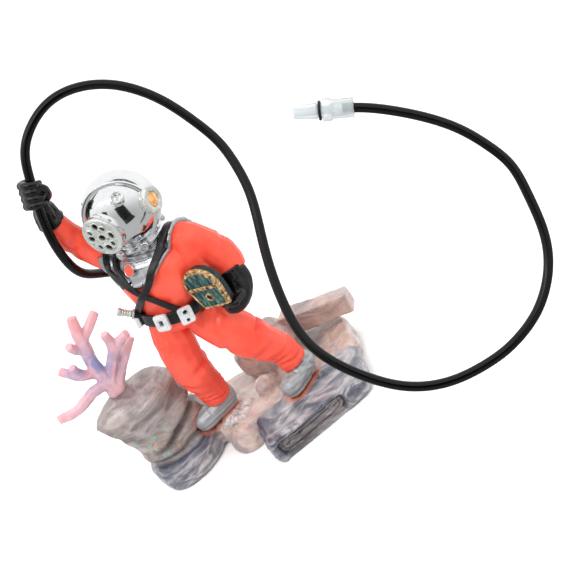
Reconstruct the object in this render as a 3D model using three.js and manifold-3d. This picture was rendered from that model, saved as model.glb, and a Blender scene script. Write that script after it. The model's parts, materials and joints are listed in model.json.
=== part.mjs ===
// A bubbling aquarium ornament: a helmeted diver with a treasure chest on a rock base.
// A flexible airline feeds air through the diver's back into the helmet.
// Millimetres. Z is up, X runs to the right along the base and the diver is seen from -Y.
// The origin is the middle of the base's flat underside.
import * as THREE from 'three';
import { mergeVertices } from 'three/addons/utils/BufferGeometryUtils.js';
import Module from 'manifold-3d';

const wasm = await Module();
wasm.setup();

// ---- Driving dimensions ----
const GAP = 0.3; // clearance between neighbouring pieces
const GROUND_TOP = 8; // height of the low rocks
const HOSE_R = 1.5; // airline outside radius
const BORE_R = 1; // airline bore radius
const HELMET_R = 12.3; // outside radius of the helmet dome
const HELMET_WALL = 1;
const PORT_R = 6.7; // round port in the face of the helmet
const BELT_HEIGHT = 4;
const WEIGHT = { width: 4.8, thickness: 1.6, height: 6 }; // lead weight on the belt
const CHEST = { width: 13, length: 4.6, boxHeight: 7.6, lidRise: 6.6, taper: 1.1 };

// Each has the place of its origin, the way its front faces in degrees from -Y, and its sideways lean.
const TORSO = { at: [-2.5, -3, 55.5], yaw: -50, lean: 14 };
const HELMET = { at: [4.8, -4, 91], yaw: -46, lean: 4 };
const CHEST_FRONT = { at: [8.8, -20, 52.8], yaw: -48 };

// ---- Finishes ----
const finish = (color, roughness, metalness = 0) =>
  new THREE.MeshStandardMaterial({ color, roughness, metalness });
const suit = finish('#f2503a', 0.45);
const blackRubber = finish('#17181a', 0.4);
const hoseBlack = finish('#0d0d0f', 0.25);
const webbing = finish('#25262a', 0.65);
const chrome = finish('#d8dade', 0.1, 1);
const bootGrey = finish('#a7a9ac', 0.35, 0.6);
const leadWhite = finish('#e4e6ea', 0.3, 0.5);
const amber = finish('#d9a368', 0.4);
const greyRock = finish('#9c8d92', 0.6);
const darkRock = finish('#6d6f82', 0.55);
const pinkSand = finish('#cf9c8d', 0.8);
const brownRock = finish('#b39488', 0.65);
const coralPink = finish('#e79aab', 0.4);
const teal = finish('#1f5f64', 0.5);
const gold = finish('#a87a3c', 0.5, 0.7);
const clearPlastic = finish('#e6e9ea', 0.1);
const porousStone = finish('#c9c3b4', 0.95);

// ---- Shape tools ----
const v = (x, y, z) => new THREE.Vector3(x, y, z);
const radians = THREE.MathUtils.degToRad;

// A closed three.js geometry as a solid that can be joined and cut.
function solid(geometry) {
  const bare = geometry.index ? geometry.toNonIndexed() : geometry.clone();
  bare.deleteAttribute('normal');
  bare.deleteAttribute('uv');
  const merged = mergeVertices(bare, 1e-4);
  const mesh = new wasm.Mesh({
    numProp: 3,
    vertProperties: merged.attributes.position.array,
    triVerts: new Uint32Array(merged.index.array),
  });
  return new wasm.Manifold(mesh);
}

// The largest separate piece of a solid, as a three.js geometry with tiny slivers merged away.
function surface(manifold) {
  const pieces = manifold.decompose().sort((a, b) => b.volume() - a.volume());
  const { vertProperties, triVerts, numProp } = pieces[0].simplify(0.04).getMesh();
  const geometry = new THREE.BufferGeometry();
  const data = new THREE.InterleavedBuffer(vertProperties, numProp);
  geometry.setAttribute('position', new THREE.InterleavedBufferAttribute(data, 3, 0));
  geometry.setIndex(new THREE.BufferAttribute(new Uint32Array(triVerts), 1));
  const flat = geometry.toNonIndexed();
  flat.computeVertexNormals();
  return flat;
}

const cut = (body, ...tools) =>
  surface(tools.reduce((kept, tool) => kept.subtract(solid(tool)), solid(body)));
const join = (...parts) => surface(parts.map(solid).reduce((all, part) => all.add(part)));

// A rounded body along stations [x, y, z, half width, half depth]; it swells by grow all over.
// side is the direction that the half width is measured along; a level body keeps its sections horizontal.
function limb(stations, { sides = 12, steps = 10, grow = 0, side = v(1, 0, 0), level = false } = {}) {
  const places = stations.map(([x, y, z]) => v(x, y, z));
  const sizes = stations.map(([, , , w, d = w]) => v(w, d, 0));
  const path = new THREE.CatmullRomCurve3(places, false, 'catmullrom');
  const girth = new THREE.CatmullRomCurve3(sizes, false, 'catmullrom');
  const geometry = new THREE.CylinderGeometry(1, 1, 1, sides, steps);
  const position = geometry.attributes.position;
  for (let i = 0; i < position.count; i++) {
    const t = THREE.MathUtils.clamp(position.getY(i) + 0.5, 0, 1);
    const tangent = level ? v(0, 0, 1) : path.getTangent(t);
    const across = side.clone().addScaledVector(tangent, -side.dot(tangent)).normalize();
    const through = across.clone().cross(tangent);
    const size = girth.getPoint(t);
    const point = path.getPoint(t);
    point.addScaledVector(across, position.getX(i) * (size.x + grow));
    point.addScaledVector(through, position.getZ(i) * (size.y + grow));
    if (t === 0 || t === 1) point.addScaledVector(tangent, t === 1 ? grow : -grow);
    position.setXYZ(i, point.x, point.y, point.z);
  }
  return geometry;
}

// A block with a smooth outline [x, y], standing on z = bottom, with rounded upper and lower edges.
function slab(outline, bottom, top, { edge = 1.2, grow = 0 } = {}) {
  const around = new THREE.CatmullRomCurve3(outline.map(([x, y]) => v(x, y, 0)), true, 'catmullrom');
  const points = around.getPoints(3 * outline.length).slice(1);
  const shape = new THREE.Shape(points.map(({ x, y }) => new THREE.Vector2(x, y)));
  const geometry = new THREE.ExtrudeGeometry(shape, {
    depth: top - bottom - 2 * edge,
    bevelThickness: edge,
    bevelSize: edge,
    bevelOffset: grow - edge,
    bevelSegments: 1,
  });
  return geometry.translate(0, 0, bottom + edge);
}

// A body turned about the Z axis from its half outline [radius, height], listed upwards from the axis.
const turned = (profile, sides = 24) =>
  new THREE.LatheGeometry(profile.map(([r, z]) => new THREE.Vector2(r, z)), sides).rotateX(Math.PI / 2);

// The half outline of a ring with a square section.
const ringProfile = (inner, outer, low, high) => [
  [inner, low],
  [outer, low],
  [outer, high],
  [inner, high],
  [inner, low],
];

// A round bar between two points.
const bar = (from, to, r, sides = 12) =>
  limb([[...from, r], [...to, r]], { sides, steps: 1, side: v(0.3, 0.9, 0.2) });

const ball = (at, r, sides = 12) => new THREE.SphereGeometry(r, sides, sides / 2).translate(...at);

function piece(name, geometry, material, parent) {
  const mesh = new THREE.Mesh(geometry, material);
  mesh.name = name;
  parent.add(mesh);
  return mesh;
}

// A group whose -Y side faces the direction given by yaw, leaning sideways about the world Y axis.
function stand({ at, yaw, lean = 0 }) {
  const group = new THREE.Group();
  group.position.set(...at);
  const tilt = new THREE.Quaternion().setFromAxisAngle(v(0, 1, 0), radians(lean));
  const turn = new THREE.Quaternion().setFromAxisAngle(v(0, 0, 1), radians(yaw));
  group.quaternion.copy(tilt.multiply(turn));
  group.updateMatrixWorld(true);
  return group;
}

const ornament = new THREE.Group();
const diver = stand(TORSO);
const head = stand(HELMET);
const treasure = stand(CHEST_FRONT);
ornament.add(diver, head, treasure);
const toDiver = diver.matrixWorld.clone().invert();
const toHead = head.matrixWorld.clone().invert();
const inWorld = (geometry, group) => geometry.clone().applyMatrix4(group.matrixWorld);

// ---- The airline's path and its joints ----
const LOOP_SIDE = v(0, -0.77, 0.64); // the normal of the plane the airline loops in
const handPivot = [-10.2, 0, 116.3];
const shoulderPivot = [40.9, -13.7, 91.6];
const floorPivot = [67.7, -70.4, 6.1];
const endPivot = [103.3, -49.5, 42];
const lowerRun = [
  [-0.7, 8.6, 62.5],
  [-1.2, 12, 62.7],
  [-6, 15.2, 66],
  [-13, 11.4, 72.5],
  [-18, 4.2, 79.4],
  [-18.6, -0.8, 88],
  [-17.6, -1.8, 96.5],
  [-15.2, -1, 104.5],
  [-12.7, -0.4, 110.5],
  handPivot,
];
const overHead = [
  handPivot,
  [-5.7, 2.4, 124],
  [9.1, 4.6, 129.4],
  [24.8, 1.6, 123.6],
  [35.4, -5, 110],
  shoulderPivot,
];
const pastBase = [
  shoulderPivot,
  [38.7, -23.5, 77.5],
  [30, -34.7, 62],
  [23.8, -46, 45.6],
  [25, -54.9, 32.8],
  [36.5, -64.5, 15.9],
  [51, -69, 8.1],
  floorPivot,
];
const risingLoop = [floorPivot, [82.8, -68.1, 9.1], [96.5, -61, 20.2], endPivot];
const freeEnd = [
  endPivot,
  [98.5, -41.1, 56.5],
  [89.5, -33.9, 68.3],
  [79.2, -28.3, 77.9],
  [75.1, -26.7, 80.2],
];

const airline = (path, r, steps, sides) =>
  limb(path.map((point) => [...point, r]), { sides, steps, side: LOOP_SIDE });

// One length of airline: bored through, cupped at its start and rounded at its end, so that it can swing.
function hoseLength(path, steps, { cupped, rounded }) {
  const before = v(...path[0]).multiplyScalar(2).sub(v(...path[1]));
  const after = v(...path.at(-1)).multiplyScalar(2).sub(v(...path.at(-2)));
  let hose = solid(airline(path, HOSE_R, steps, 10));
  if (rounded) hose = hose.add(solid(ball(path.at(-1), HOSE_R, 10)));
  hose = hose.subtract(solid(airline(path, BORE_R, steps, 6)));
  for (const [end, beyond] of [[path[0], before], [path.at(-1), after]]) {
    hose = hose.subtract(solid(bar(end, v(...end).lerp(beyond, 0.5).toArray(), BORE_R, 6)));
  }
  if (cupped) hose = hose.subtract(solid(ball(path[0], HOSE_R + GAP, 10)));
  return surface(hose);
}

// ---- Rock base ----
const BED_DROP = 0.4; // how far the sand bed and the right slab lie below the other low rocks
const RIGHT_DROP = 1;
const leftOutline = [
  [-41, 4], [-35.5, -0.6], [-27, -0.6], [-19.5, 6.4], [-17, 16],
  [-19, 25], [-30, 27.5], [-41, 24.5], [-43.5, 13],
];
const bedOutline = [
  [-18, 6.4], [-13, 1.5], [-5.6, -6.6], [0, -7.4], [6.6, -7.4], [7.6, 6], [7.2, 20], [-3, 28], [-16, 26],
];
const frontOutline = [
  [-6.4, -26.5], [-2, -28.5], [12, -28.4], [27, -27.4], [30.5, -24],
  [33.4, -12], [32, -8.2], [12, -8], [-5, -8], [-6.8, -16],
];
const rightOutline = [
  [8.2, -7.4], [20, -7.6], [33, -7.4], [36.5, 4], [37.2, 14], [30, 24], [18, 28], [8, 27.5], [8.2, 10],
];

const bootRight = (grow = 0) =>
  limb(
    [
      [-6.2, 9.7, 12.2, 1.2, 1.8],
      [-7.2, 9.5, 12.4, 3.1, 3.6],
      [-10.4, 9.2, 12.6, 4, 4],
      [-15.6, 8.4, 11.9, 3.9, 3.4],
      [-20.6, 7.8, 11.6, 3.4, 2.9],
      [-22.4, 7.6, 11.2, 1.4, 1.2],
    ],
    { grow, sides: 10, steps: 10, side: v(0, 1, 0) },
  );
const bootLeft = (grow = 0) =>
  limb(
    [
      [20.4, -5.6, 12.4, 1.4, 2],
      [19.6, -6.2, 12.6, 3.2, 3.8],
      [16.8, -8.1, 12.8, 4, 4.3],
      [13, -10.8, 12, 3.9, 3.6],
      [9.2, -13.3, 11.6, 3.4, 3.1],
      [7.8, -14.2, 11.3, 1.4, 1.2],
    ],
    { grow, sides: 10, steps: 10, side: v(0.56, 0.83, 0) },
  );
const boots = [bootRight(GAP), bootLeft(GAP)];

const pillar = (grow = 0) =>
  limb(
    [
      [-30.4, 15.4, GROUND_TOP + GAP, 10.5, 8.6],
      [-29.4, 15.4, 11, 13.2, 10.2],
      [-29.8, 15, 17, 13.2, 10.4],
      [-31.8, 14.8, 24, 13.6, 10.4],
      [-33, 14.6, 30, 15.4, 10.6],
      [-32.4, 15, 33.6, 11.5, 8],
    ],
    { grow, sides: 16, steps: 10, level: true },
  );
const rearBoulder = (grow = 0) =>
  limb(
    [
      [11, 17, GROUND_TOP - 0.6, 8.6, 6],
      [11, 17.5, 11, 10.8, 7.4],
      [11, 18.4, 16, 10.4, 6.8],
      [11.6, 19.5, 20, 6.8, 4],
    ],
    { grow, sides: 14, steps: 6, level: true },
  );
const frontLobe = () =>
  limb(
    [
      [-10.4, -2.4, 0, 6, 6.8],
      [-10.4, -2.2, 2.4, 6.6, 7.2],
      [-10, -1.6, 5, 5.6, 6],
      [-9.4, -1, 6.6, 3, 3],
    ],
    { sides: 14, steps: 5, level: true },
  );
const roundStone = (grow = 0) => ball([3.9, 4, 9.2], 3.8 + grow, 12);
const rearBeam = (grow = 0) =>
  limb(
    [
      [21, 19.6, 15.4, 4.8],
      [31, 13.6, 13.9, 4.8],
      [42.6, 8.4, 12.6, 4.6],
    ],
    { grow, sides: 4, steps: 4, side: v(0.33, 0.63, 0.7) },
  );

// The coral's branches, each with stations [x, z, radius], fanning out about the plane y = CORAL_Y.
// Every branch starts inside the one that it grows from, and its tip bends forwards by -sway.
const CORAL_Y = 19.5;
const branches = [
  {
    sway: 0,
    stations: [
      [-35.2, 33, 3.3], [-35.6, 37, 2.6], [-35.9, 42, 2.4], [-35.6, 48, 2.1],
      [-33.9, 54, 2], [-33, 59, 1.9], [-31, 64.4, 1.5],
    ],
  },
  { sway: -3.5, stations: [[-35.4, 38, 1.9], [-42, 39.6, 1.8], [-49, 38.2, 1.7], [-55.6, 40.6, 1.4]] },
  { sway: 3, stations: [[-35.6, 43.6, 1.8], [-41, 45.8, 1.7], [-45.8, 51.2, 1.4]] },
  { sway: -3, stations: [[-39, 44.8, 1.5], [-41, 48, 1.5], [-41.2, 52, 1.3]] },
  { sway: 3.5, stations: [[-33.4, 56, 1.7], [-29, 57.6, 1.7], [-24.6, 59.4, 1.4]] },
  { sway: -3, stations: [[-34.4, 52.5, 1.6], [-37, 55, 1.5], [-37.6, 58.4, 1.3]] },
  { sway: -2.5, stations: [[-35.2, 38.6, 1.9], [-30.4, 43.8, 1.8], [-27, 48, 1.6], [-26.4, 54, 1.4]] },
  { sway: -4, stations: [[-30, 44.4, 1.7], [-25.4, 47.6, 1.6], [-20.6, 49.8, 1.4]] },
  { sway: 4, stations: [[-34.6, 35.4, 1.9], [-28.6, 40.4, 1.7], [-20.9, 44.6, 1.4]] },
];
function branchBody({ sway, stations }) {
  const last = stations.length - 1;
  const placed = stations.map(([x, z, r], i) => [x, CORAL_Y + sway * (i / last) ** 2, z, r]);
  return limb(placed, { sides: 6, steps: 2 * last, side: v(0, 1, 0) });
}

// The space that a low rock needs, a little wider and deeper than the rock.
const spread = (outline) => slab(outline, -2, GROUND_TOP + 2, { edge: 0.6, grow: GAP });

function addBase() {
  piece('rock_slab_left', cut(slab(leftOutline, 0, GROUND_TOP), ...boots), darkRock, ornament);
  const bed = slab(bedOutline, 0, GROUND_TOP - BED_DROP);
  const besideBed = [spread(leftOutline), spread(frontOutline), rearBoulder(GAP), roundStone(GAP)];
  piece('sand_bed', cut(bed, ...besideBed, ...boots), pinkSand, ornament);
  const besideLobe = [bedOutline, leftOutline, frontOutline].map(spread);
  piece('rock_lobe_front', cut(frontLobe(), ...besideLobe), pinkSand, ornament);
  piece('rock_block_front', cut(slab(frontOutline, 0, GROUND_TOP), ...boots), darkRock, ornament);
  const right = slab(rightOutline, 0, GROUND_TOP - RIGHT_DROP);
  const besideRight = [spread(bedOutline), spread(frontOutline), rearBoulder(GAP)];
  piece('rock_slab_right', cut(right, ...besideRight, ...boots), brownRock, ornament);
  piece('rock_pillar', cut(pillar(), ...boots), greyRock, ornament);
  piece('rear_boulder', cut(rearBoulder(), roundStone(GAP)), brownRock, ornament);
  piece('rear_beam', cut(rearBeam(), rearBoulder(GAP)), brownRock, ornament);
  piece('round_stone', roundStone(), brownRock, ornament);
  const coral = branches.map(branchBody).map(solid).reduce((tree, branch) => tree.add(branch));
  piece('coral', surface(coral.subtract(solid(pillar(GAP)))), coralPink, ornament);
}

// ---- The diver's suit ----
const torso = (grow = 0) =>
  limb(
    [
      [0, 0, -6.8, 6.4, 5],
      [0, 0, -4.4, 9.4, 7.2],
      [0, 0, 0, 9.9, 7.6],
      [0, -0.2, 6, 11.6, 8.8],
      [0.2, -0.4, 12, 13.8, 10],
      [0.4, -0.4, 17, 13.2, 9.2],
      [0.4, -0.2, 20.8, 9.6, 7.4],
      [0.4, 0, 23, 6, 5.6],
    ],
    { grow, sides: 16, steps: 14, level: true },
  );
const legRight = (grow = 0) =>
  limb(
    [
      [-7.6, 0.6, 52, 5],
      [-8.6, 1, 46, 6.3],
      [-10.6, 2.6, 38, 6.1],
      [-11.2, 4, 30.5, 6.1],
      [-10.8, 6.8, 22.6, 5],
      [-10.6, 8.6, 15.6, 4.8],
    ],
    { grow, steps: 10 },
  );
const legLeft = (grow = 0) =>
  limb(
    [
      [1.6, -4.6, 52, 5],
      [3.6, -6, 46, 6.6],
      [7.4, -8, 38, 6.6],
      [10.8, -9, 31, 6.2],
      [15.2, -8.6, 22.6, 4.9],
      [16, -8.8, 16.2, 4.6],
    ],
    { grow, steps: 10 },
  );
const armRight = (grow = 0) =>
  limb(
    [
      [-4, 3, 71.5, 3.4],
      [-6.8, 4.2, 77, 4.6],
      [-10.4, 5, 84, 4.8],
      [-13.2, 5, 91, 4.4],
      [-14.4, 4.8, 98, 4],
    ],
    { grow },
  );
const armLeft = (grow = 0) =>
  limb(
    [
      [9, -6.6, 75, 3.6],
      [14, -8.8, 72.6, 5.4],
      [18, -10.6, 65.5, 5.6],
      [19.8, -11.4, 59.6, 5.2],
      [19.4, -13, 55.8, 4.4],
    ],
    { grow },
  );
const gloveRight = () =>
  limb(
    [
      [-14.4, 4.6, 98.6, 4.2],
      [-14.2, 4.2, 101.4, 3.9],
      [-13.6, 3.2, 105, 3.4],
      [-13.4, 2, 108.4, 4.5, 4.2],
      [-12.9, 1.6, 111.6, 4.5, 4.2],
      [-12.4, 1.4, 114.4, 2.2],
    ],
    { sides: 12, steps: 11 },
  );
const gloveLeft = () =>
  limb(
    [
      [19, -13.2, 56.8, 4.6],
      [18.6, -14.6, 53.6, 4.6],
      [17, -16.4, 50.8, 4.3],
      [14.4, -18, 49.4, 3.6],
      [12, -19, 49.6, 2.6],
      [10.6, -19.4, 50, 1.4],
    ],
    { sides: 12, steps: 11, side: v(0, 1, 0) },
  );

// The air path inside the diver: in through the back, up through the neck.
const innerPath = [
  [-0.7, 4.6, 62.5],
  [-0.2, 1, 65],
  [1.4, -2, 71],
  [3, -3.4, 78],
  [4.2, -4, 83],
  [4.4, -4, 87],
];
const innerBore = airline(innerPath, HOSE_R + 2 * GAP, 10, 8);
const inletHole = bar([-0.7, 14, 62.5], [-0.7, 3.4, 62.5], HOSE_R + GAP + 0.1, 10);

function addSuit() {
  const body = inWorld(torso(GAP), diver);
  const airSpace = [innerBore, inletHole].map((hole) => hole.clone().applyMatrix4(toDiver));
  const bored = cut(torso(), ...airSpace);
  piece('suit_torso', bored, suit, diver);
  const belted = inWorld(beltRegion(1), diver);
  const collared = inWorld(neckSpace(), diver);
  piece('suit_leg_right', cut(legRight(), body, belted), suit, ornament);
  piece('suit_leg_left', cut(legLeft(), body, belted, legRight(GAP)), suit, ornament);
  piece('suit_arm_right', cut(armRight(), body, collared), suit, ornament);
  piece('suit_arm_left', cut(armLeft(), body, collared), suit, ornament);
  piece('boot_right', cut(bootRight(), legRight(GAP)), bootGrey, ornament);
  piece('boot_left', cut(bootLeft(), legLeft(GAP)), bootGrey, ornament);
  const grip = airline(lowerRun, HOSE_R + GAP, 20, 8);
  piece('glove_right', cut(gloveRight(), armRight(GAP), grip), blackRubber, ornament);
  piece('glove_left', cut(gloveLeft(), armLeft(GAP), inWorld(chestSpace(), treasure)), blackRubber, ornament);
}

// ---- Harness, worn over the torso ----
// Each piece is a shell around the body between two distances from it, limited to a region.
const dressed = (grow) => solid(torso(grow)).add(solid(armLeft(grow).applyMatrix4(toDiver)));
const shell = (region, inside, outside) =>
  dressed(outside).intersect(solid(region)).subtract(dressed(inside));
const CROSSING = [0.6, 0, 10]; // where the straps cross on the chest
const strapRegion = (lean, width) =>
  new THREE.BoxGeometry(width, 60, 60).rotateY(radians(lean)).translate(...CROSSING);
const beltRegion = (grow = 0) => new THREE.BoxGeometry(60, 60, BELT_HEIGHT + 2 * grow);
const STRAP_LEAN = { left: 41, right: -46 }; // degrees from upright
const STRAP_WIDTH = 2.6;
const neckSpace = () => {
  const outline = [[0, 21.5], [7.7, 21.5], [7.7, 23], [9.2, 23], [9.2, 32], [0, 32]];
  return turned(outline, 16).translate(1.1, -0.3, 0);
};

// The place on the belt that faces the given angle, measured from the front towards the diver's left.
function onBelt(degrees, outside) {
  const a = radians(degrees);
  const [w, d] = [9.9, 7.6];
  const normal = v(Math.sin(a), -Math.cos(a), 0);
  const reach = Math.hypot(w * normal.x, d * normal.y);
  return v((w * w * normal.x) / reach, (d * d * normal.y) / reach, 0).addScaledVector(normal, outside);
}

function addHarness() {
  const plate = new THREE.CylinderGeometry(12, 12, 60, 24).translate(0, 0, 25);
  const raisedArm = solid(armRight(GAP).applyMatrix4(toDiver));
  const clear = (body) => surface(body.subtract(solid(neckSpace())).subtract(raisedArm));
  const badge = turned([[0, 0], [2, 0], [2, 0.9], [0, 0.9]], 16).rotateX(radians(90 - 25));
  const beltSpace = solid(beltRegion(1.3));
  const under = shell(strapRegion(STRAP_LEAN.right, STRAP_WIDTH), 1.4, 2.2);
  const bridge = shell(strapRegion(STRAP_LEAN.right, STRAP_WIDTH + 2 * GAP), 0, 2.5);
  const over = shell(strapRegion(STRAP_LEAN.left, STRAP_WIDTH), 1.4, 3.3).subtract(bridge);
  const thin = dressed(2.2).add(solid(strapRegion(STRAP_LEAN.right, STRAP_WIDTH + 2)));
  piece('corselet', clear(shell(plate, GAP, 1.1)), chrome, diver);
  piece('badge', badge, suit, diver).position.set(1, -10.4, 19.4);
  piece('strap_right_shoulder', clear(under.subtract(beltSpace)), webbing, diver);
  piece('strap_left_shoulder', clear(over.intersect(thin).subtract(beltSpace)), webbing, diver);
  piece('waist_belt', surface(shell(beltRegion(), 0.4, 1.9)), webbing, diver);
  const weightBlock = new THREE.BoxGeometry(WEIGHT.width, WEIGHT.thickness, WEIGHT.height);
  [-40, 14, 50, 132, 180, 228].forEach((angle, i) => {
    const weight = piece(`belt_weight_${i + 1}`, weightBlock, leadWhite, diver);
    weight.position.copy(onBelt(angle, 3.1));
    weight.rotation.z = radians(angle);
  });
  const knife = new THREE.Group();
  knife.position.set(-9.6, -9.4, 3.4);
  knife.quaternion.setFromUnitVectors(v(0, 0, 1), v(-0.68, -0.5, 0.53).normalize());
  diver.add(knife);
  const handle = [[0, 0], [1.7, 0], [1.7, 0.6], [1, 0.6], [1, 3.8], [1.4, 4.3], [1.1, 5.2], [0, 5.4]];
  piece('knife_handle', turned(handle, 12), chrome, knife);
}

// ---- Helmet ----
function addHelmet() {
  const torsoTop = inWorld(torso(1.4), diver).applyMatrix4(toHead);
  const dome = (r, sides = 20) => new THREE.SphereGeometry(r, sides, Math.round(sides * 0.6));
  const neckHole = turned([[0, -16], [6, -16], [6, 0], [0, 0]]);
  const faceHole = turned([[0, 0], [5.1, 0], [5.1, 20], [0, 20]]);
  const towardsFace = (geometry) => geometry.rotateX(radians(90 + 2));
  const skull = solid(dome(HELMET_R)).subtract(solid(dome(HELMET_R - HELMET_WALL, 14)));
  const opened = skull.subtract(solid(neckHole)).subtract(solid(towardsFace(faceHole)));
  piece('helmet_dome', surface(opened), chrome, head);
  const clearance = dome(HELMET_R + GAP);
  const port = towardsFace(turned(ringProfile(5.3, PORT_R - 0.4, 9.4, 12)));
  piece('face_port', cut(port, clearance), chrome, head);
  const holes = [[0, 0]];
  for (let i = 0; i < 8; i++) {
    const angle = (i * Math.PI) / 4;
    holes.push([4.3 * Math.cos(angle), 4.3 * Math.sin(angle)]);
  }
  const disc = new THREE.Shape().absarc(0, 0, PORT_R, 0, 2 * Math.PI);
  holes.forEach(([x, y]) => disc.holes.push(new THREE.Path().absarc(x, y, 1, 0, 2 * Math.PI)));
  const grille = new THREE.ExtrudeGeometry(disc, { depth: 1.1, bevelEnabled: false, curveSegments: 8 });
  piece('face_grille', towardsFace(grille.translate(0, 0, 12 + GAP)), leadWhite, head);
  for (const [name, sign] of [['left', 1], ['right', -1]]) {
    const aside = (geometry) => geometry.rotateY(radians(90 * sign)).rotateZ(radians(4 * sign));
    const rim = turned(ringProfile(2.6, 4.4, 10.3, 13.4), 16);
    piece(`side_port_${name}`, cut(aside(rim), dome(HELMET_R + GAP)), chrome, head);
    const pane = turned([[0, 12.6], [2.3, 12.6], [2.3, 13.2], [0, 13.2]], 16);
    piece(`side_window_${name}`, aside(pane), amber, head);
  }
  const valve = turned([[0, 0], [1.6, 0], [1.5, 0.8], [2.2, 1.1], [2.2, 1.9], [0, 2.2]], 12);
  valve.translate(0, 0, HELMET_R + GAP).rotateX(radians(55)).rotateZ(radians(51));
  piece('exhaust_valve', valve, chrome, head);
  const neckRing = turned(ringProfile(5, 8.2, -11.8, -9.8), 24);
  piece('neck_ring', cut(neckRing, dome(HELMET_R + GAP), torsoTop), chrome, head);
  const ribbed = [[5, -14], [7.3, -14], [7, -13.4], [7.3, -12.8], [7, -12.1], [5, -12.1], [5, -14]];
  const collar = turned(ribbed, 24);
  piece('neck_collar', cut(collar, torsoTop), chrome, head);
  [-20, 40, 160, 250].forEach((angle, i) => {
    const bolt = turned([[0, 0], [1.3, 0], [1.3, 0.9], [0.6, 1.3], [0, 1.3]], 8).rotateX(radians(90));
    piece(`neck_bolt_${i + 1}`, bolt.translate(0, -8.2 - GAP, -10.8).rotateZ(radians(angle)), chrome, head);
  });
}

// ---- Treasure chest, held on edge with its end facing forwards ----
const lidArch = (grow = 0) => {
  const half = CHEST.width / 2 + grow;
  const arch = new THREE.Shape();
  arch.moveTo(-half, 0);
  arch.lineTo(half, 0);
  arch.lineTo(half, 0.8);
  arch.absellipse(0, 0.8, half, CHEST.lidRise - 0.8 + grow, 0, Math.PI);
  const depth = CHEST.length + 2 * grow;
  return new THREE.ExtrudeGeometry(arch, { depth, bevelEnabled: false, curveSegments: 10 })
    .rotateX(Math.PI / 2)
    .translate(0, CHEST.length + grow, CHEST.boxHeight + GAP);
};
const chestBox = (grow = 0) => {
  const [foot, rim] = [CHEST.width / 2 - CHEST.taper + grow, CHEST.width / 2 + grow];
  const top = CHEST.boxHeight + grow;
  const corners = [[-foot, -grow], [foot, -grow], [rim, top], [-rim, top]];
  const end = new THREE.Shape(corners.map(([x, y]) => new THREE.Vector2(x, y)));
  return new THREE.ExtrudeGeometry(end, { depth: CHEST.length + 2 * grow, bevelEnabled: false })
    .rotateX(Math.PI / 2)
    .translate(0, CHEST.length + grow, 0);
};
const chestSpace = () => join(chestBox(GAP), lidArch(GAP));

function addChest() {
  const toChest = treasure.matrixWorld.clone().invert();
  const keepOut = [inWorld(torso(1), diver), armLeft(GAP)].map((body) => body.applyMatrix4(toChest));
  piece('chest_box', cut(chestBox(), ...keepOut), teal, treasure);
  piece('chest_lid', cut(lidArch(), ...keepOut), teal, treasure);
  const latch = turned(ringProfile(1, 1.7, 0, 0.6), 16).rotateX(radians(90));
  piece('chest_latch_ring', latch, gold, treasure).position.set(0, -GAP, 3.4);
}

// ---- Airline and its fittings ----
function addAirline() {
  piece('hose_through_hand', hoseLength(lowerRun, 20, { rounded: true }), hoseBlack, ornament);
  piece('hose_over_head', hoseLength(overHead, 11, { cupped: true, rounded: true }), hoseBlack, ornament);
  piece('hose_past_base', hoseLength(pastBase, 14, { cupped: true, rounded: true }), hoseBlack, ornament);
  piece('hose_rising_loop', hoseLength(risingLoop, 8, { cupped: true, rounded: true }), hoseBlack, ornament);
  piece('hose_free_end', hoseLength(freeEnd, 9, { cupped: true }), hoseBlack, ornament);

  const barb = turned(ringProfile(0.35, 0.6, 0, 5.4), 10).rotateX(-Math.PI / 2);
  piece('air_inlet_barb', barb, clearPlastic, ornament).position.set(-0.7, 5.2, 62.5);
  const tube = solid(airline(innerPath, 1.1, 10, 8)).subtract(solid(airline(innerPath, 0.7, 10, 6)));
  piece('inner_air_tube', surface(tube), clearPlastic, ornament);
  const stone = turned([[0.9, 0], [2.6, 0], [3, 0.8], [3, 4.4], [2.2, 5.4], [0.9, 5.4], [0.9, 0]], 16);
  piece('bubble_stone', stone, porousStone, ornament).position.set(...innerPath.at(-1)).add(v(0, 0, GAP));

  const end = v(...freeEnd.at(-1));
  const outlet = new THREE.Group();
  outlet.position.copy(end);
  outlet.quaternion.setFromUnitVectors(v(0, 0, 1), v(-0.83, 0.32, 0.46).normalize());
  ornament.add(outlet);
  const nozzle = [
    [1, 3.9], [1.8, 3.9], [1.8, -3.4], [3, -3.4], [3, 3], [3.5, 3.6], [3.5, 5.9],
    [1.9, 6.1], [1.9, 7.5], [2.6, 7.6], [1.9, 14.6], [1, 14.6], [1, 3.9],
  ];
  piece('nozzle_adaptor', turned(nozzle, 20), clearPlastic, outlet);
  piece('seal_ring', turned(ringProfile(2.1, 3, 6.3, 7.2), 20), blackRubber, outlet);
}

addBase();
addSuit();
addHarness();
addHelmet();
addChest();
addAirline();

export default ornament;
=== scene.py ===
# Looks of a bubbling aquarium ornament: a helmeted diver on a rock base, fed by a flexible airline.
# Shapes are worked out in millimetres in the frame of the CAD model and written to Blender in metres.
import json
import math

import bmesh
import bpy
import numpy as np
from mathutils import Matrix, Vector
from mathutils.bvhtree import BVHTree

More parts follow.
